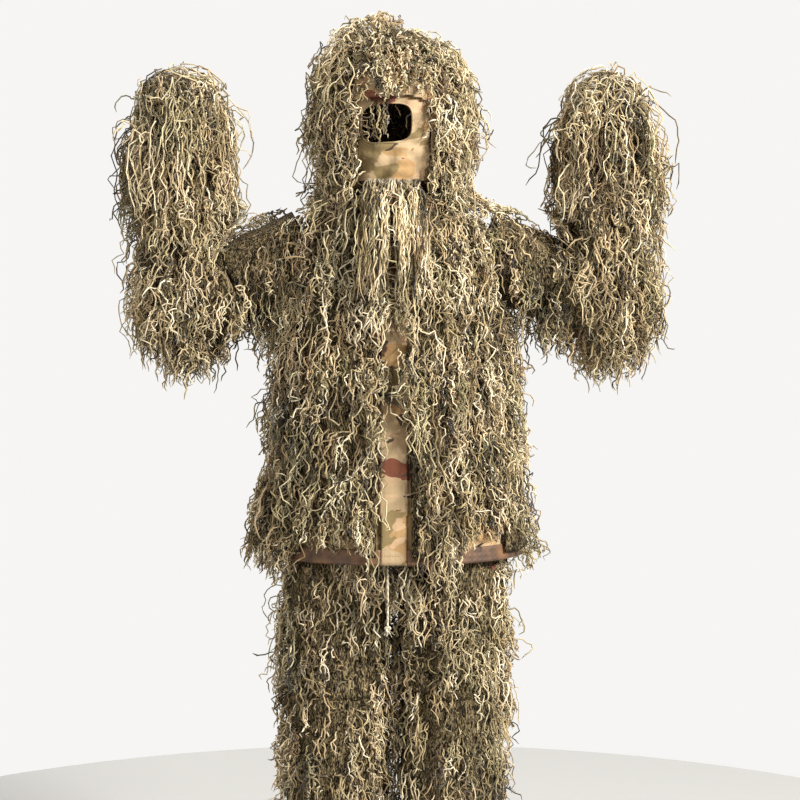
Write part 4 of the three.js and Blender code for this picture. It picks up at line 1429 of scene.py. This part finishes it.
class GHILLIE_OT_jacket_yarn(bpy.types.Operator):
    """Ties the strands all over the jacket's body"""

    bl_idname = "ghillie.jacket_yarn"
    bl_label = "Jacket yarn"

    def execute(self, context):
        axis = upright_axis()

        def front(place):
            low = max(0.0, -0.42 - place[2])
            parted = abs(place[0] - 0.006 * math.sin(place[2] * 23) - 0.06 * low) < 0.017 + 0.2 * low
            return not (parted and place[2] < -0.19) and place[2] > hem_reach(place) + 0.015

        jobs = (
            ("jacket_back_strands", "jacket_back", "jacket_back_yarn", 2150, lambda p: p[2] > -0.63, 1),
            ("jacket_left_strands", "jacket_front_left", "jacket_front_yarn_left", 1780, front, 2),
            ("jacket_right_strands", "jacket_front_right", "jacket_front_yarn_right", 1780, front, 3),
        )
        for name, cloth, node, full, keep, number in jobs:
            piece = coat(
                name, [cloth], axis, full, (0.07, 0.17), (0.006, 0.042), number, keep, hem_reach,
                lambda p: 1.0 if p[2] > -0.13 else 0.62,
            )
            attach(piece, "jacket")
            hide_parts(node)
        return {"FINISHED"}


class GHILLIE_OT_hood_yarn(bpy.types.Operator):
    """Ties the strands to the hood, with short ones over the brow"""

    bl_idname = "ghillie.hood_yarn"
    bl_label = "Hood yarn"

    def execute(self, context):
        def axis(place):
            return np.array([0.0, 0.014, min(place[2], 0.16)])

        def side(place):
            return not (place[1] < -0.02 and abs(place[0]) < 0.066 and place[2] < 0.262)

        def above_brow(place):
            return 0.228 if place[1] < -0.02 and abs(place[0]) < 0.06 else -0.1

        def lean_over(place):
            flatter = -0.012 * min(1.0, max(0.0, (place[0] + 0.02) / 0.06))
            return flatter + 0.014 * (place[2] > 0.26) * (place[0] < 0)

        def brow(place):
            return place[1] < -0.02 and abs(place[0]) < 0.07 and place[2] > 0.215

        piece = coat(
            "hood_strands", ["hood_shell"], axis, 2300, (0.07, 0.18), (0.005, 0.042), 11, side, above_brow,
            lambda p: 1.0 if p[2] > 0.24 or p[2] < 0.07 else 0.6, lean_over,
        )
        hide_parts("hood_yarn")
        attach(piece, "hood")
        piece = coat(
            "brow_strands", ["hood_shell", "brow_band"], axis, 330, (0.03, 0.085), (0.010, 0.026), 12, brow,
            lambda p: 0.192
        )
        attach(piece, "hood")

        def beside_face(place):
            return place[1] < -0.05 and 0.06 < abs(place[0]) < 0.094 and 0.02 < place[2] < 0.25

        piece = coat(
            "face_side_strands", ["hood_shell"], axis, 380, (0.07, 0.15), (0.006, 0.03), 13, beside_face,
        )
        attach(piece, "hood")
        return {"FINISHED"}


class GHILLIE_OT_sleeve_yarn(bpy.types.Operator):
    """Ties the strands to the sleeves, with a fringe that covers the hands"""

    bl_idname = "ghillie.sleeve_yarn"
    bl_label = "Sleeve yarn"

    def execute(self, context):
        for side, sign in SIDES:
            number = 20 if sign > 0 else 30
            arm = upper_arm_axis(sign)
            upright = upright_axis(sign * ELBOW.x)
            piece = coat(
                f"shoulder_strands_{side}", [f"shoulder_gusset_{side}"], arm, 480, (0.07, 0.14),
                (0.004, 0.03), number + 1,
            )
            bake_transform(piece)
            piece = coat(
                f"upper_sleeve_strands_{side}", [f"upper_sleeve_{side}"], arm, 420, (0.06, 0.14),
                (0.004, 0.024), number + 2,
            )
            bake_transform(piece)
            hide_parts(f"upper_sleeve_yarn_{side}")
            piece = coat(
                f"elbow_strands_{side}", [f"elbow_gusset_{side}"], upright, 460, (0.08, 0.16),
                (0.004, 0.036), number + 3, None, lambda p: -0.318,
            )
            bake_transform(piece)
            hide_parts(f"elbow_yarn_{side}")
            piece = coat(
                f"forearm_strands_{side}", [f"forearm_sleeve_{side}", f"cuff_{side}"], upright, 1180,
                (0.09, 0.19), (0.008, 0.054), number + 4, None,
                lambda p: -0.107 if p[2] > -0.03 else -0.30, None,
                lambda p: 0.006 if p[2] > -0.03 else -0.006,
            )
            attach(piece, f"forearm_{side}")
            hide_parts(f"forearm_yarn_{side}")
            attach(self.fringe(side, sign, number + 5), f"forearm_{side}")
        return {"FINISHED"}

    def fringe(self, side, sign, number):
        """Strands that stand round the hand: some hang outside, and some arch over the top."""
        rng = np.random.default_rng(yarn_settings().seed * 1000 + number)
        count = strand_count(860)
        tufts = count // TUFT
        tuft = rng.integers(0, tufts, count)
        over = (np.arange(tufts) % 2 < 1)[tuft]
        turn = rng.uniform(0, 2 * math.pi, tufts)[tuft] + rng.normal(0, 0.07, count)
        outward = np.stack([np.cos(turn), np.sin(turn), np.zeros(count)], 1)
        high, low = rng.uniform(0.165, 0.196, tufts)[tuft], rng.uniform(0.075, 0.19, tufts)[tuft]
        height = np.where(over, high, low)
        centre = np.stack([np.full(count, sign * ELBOW.x), np.zeros(count), height], 1)
        roots = centre + outward * 0.056
        up = np.array([0.0, 0.0, 1.0])
        side_on = np.where(over[:, None], outward * -0.9, outward * 0.5)
        start = unit(side_on + up * np.where(over, 1.0, 0.6)[:, None] + rng.normal(0, 0.15, (count, 3)))
        lengths = rng.uniform(0.11, 0.2, tufts)[tuft] * rng.uniform(0.8, 1.15, count)
        lifts = rng.uniform(0.006, 0.038, tufts)[tuft]
        weight = np.where(over, 0.24, 0.42)[:, None]
        lines = comb(roots, outward, lengths, lifts, rng, tuft, 0.8, weight, start)
        return strands_mesh(f"hand_fringe_{side}", lines, rng, tuft)


class GHILLIE_OT_trouser_yarn(bpy.types.Operator):
    """Ties the strands to the trousers"""

    bl_idname = "ghillie.trouser_yarn"
    bl_label = "Trouser yarn"

    def execute(self, context):
        for side, sign in SIDES:
            number = 40 if sign > 0 else 50
            hip = joint_bend("hip", side, sign)
            knee = joint_bend("knee", side, sign)
            leg = upright_axis(sign * LEG_CENTRE)

            def half(place, sign=sign):
                return place[2] < -0.57 and place[0] * sign > 0

            def inner(place, sign=sign):
                return 0.032 * max(0.0, 1 - place[0] * sign / LEG_CENTRE)

            piece = coat(
                f"hips_strands_{side}", ["hips_cloth", f"hip_gusset_{side}"], upright_axis(), 700,
                (0.07, 0.15), (0.004, 0.030), number + 1, half,
            )
            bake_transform(piece)
            if sign > 0:
                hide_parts("hips_yarn")
            jobs = (
                ("thigh", 760, f"thigh_cloth_{side}", f"thigh_yarn_{side}", hip),
                ("knee", 480, f"knee_gusset_{side}", f"knee_yarn_{side}", knee),
                ("shin", 920, f"shin_cloth_{side}", f"shin_yarn_{side}", knee),
            )
            for step, (part, full, cloth, node, joint) in enumerate(jobs):
                keep = (lambda p: p[2] > -1.34) if part == "shin" else None
                piece = coat(
                    f"{part}_strands_{side}", [cloth], leg, full, (0.07, 0.16), (0.004, 0.034),
                    number + 2 + step, keep, lambda p: -1.43,
                    lambda p, sign=sign: 1.0 if p[0] * sign < 0.09 else 0.7, inner,
                )
                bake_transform(piece)
                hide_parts(node)
        return {"FINISHED"}


class GHILLIE_PT_suit(bpy.types.Panel):
    """Lists what builds the suit"""

    bl_idname = "GHILLIE_PT_suit"
    bl_label = "Ghillie suit"
    bl_space_type = "VIEW_3D"
    bl_region_type = "UI"
    bl_category = "Ghillie suit"

    def draw(self, context):
        scene = context.scene
        for group in (scene.ghillie_yarn, scene.ghillie_cloth, scene.ghillie_stage):
            box = self.layout.box()
            for name in group.__annotations__:
                box.prop(group, name)
        for operator in OPERATORS:
            self.layout.operator(operator.bl_idname)


OPERATORS = (
    GHILLIE_OT_stage, GHILLIE_OT_drawstring, GHILLIE_OT_jacket_cloth, GHILLIE_OT_press_studs,
    GHILLIE_OT_hood_cloth, GHILLIE_OT_veil, GHILLIE_OT_sleeves, GHILLIE_OT_trousers,
    GHILLIE_OT_jacket_yarn, GHILLIE_OT_hood_yarn, GHILLIE_OT_sleeve_yarn, GHILLIE_OT_trouser_yarn,
)
GROUPS = {
    "ghillie_yarn": GhillieYarnSettings,
    "ghillie_cloth": GhillieClothSettings,
    "ghillie_stage": GhillieStageSettings,
}
CLASSES = (*GROUPS.values(), *OPERATORS, GHILLIE_PT_suit)


def register():
    for cls in CLASSES:
        bpy.utils.register_class(cls)
    for name, group in GROUPS.items():
        setattr(bpy.types.Scene, name, PointerProperty(type=group))


def unregister():
    for name in GROUPS:
        delattr(bpy.types.Scene, name)
    for cls in reversed(CLASSES):
        bpy.utils.unregister_class(cls)


def main():
    register()
    for operator in OPERATORS:
        group, name = operator.bl_idname.split(".")
        getattr(getattr(bpy.ops, group), name)()


if __name__ == "__main__":
    main()
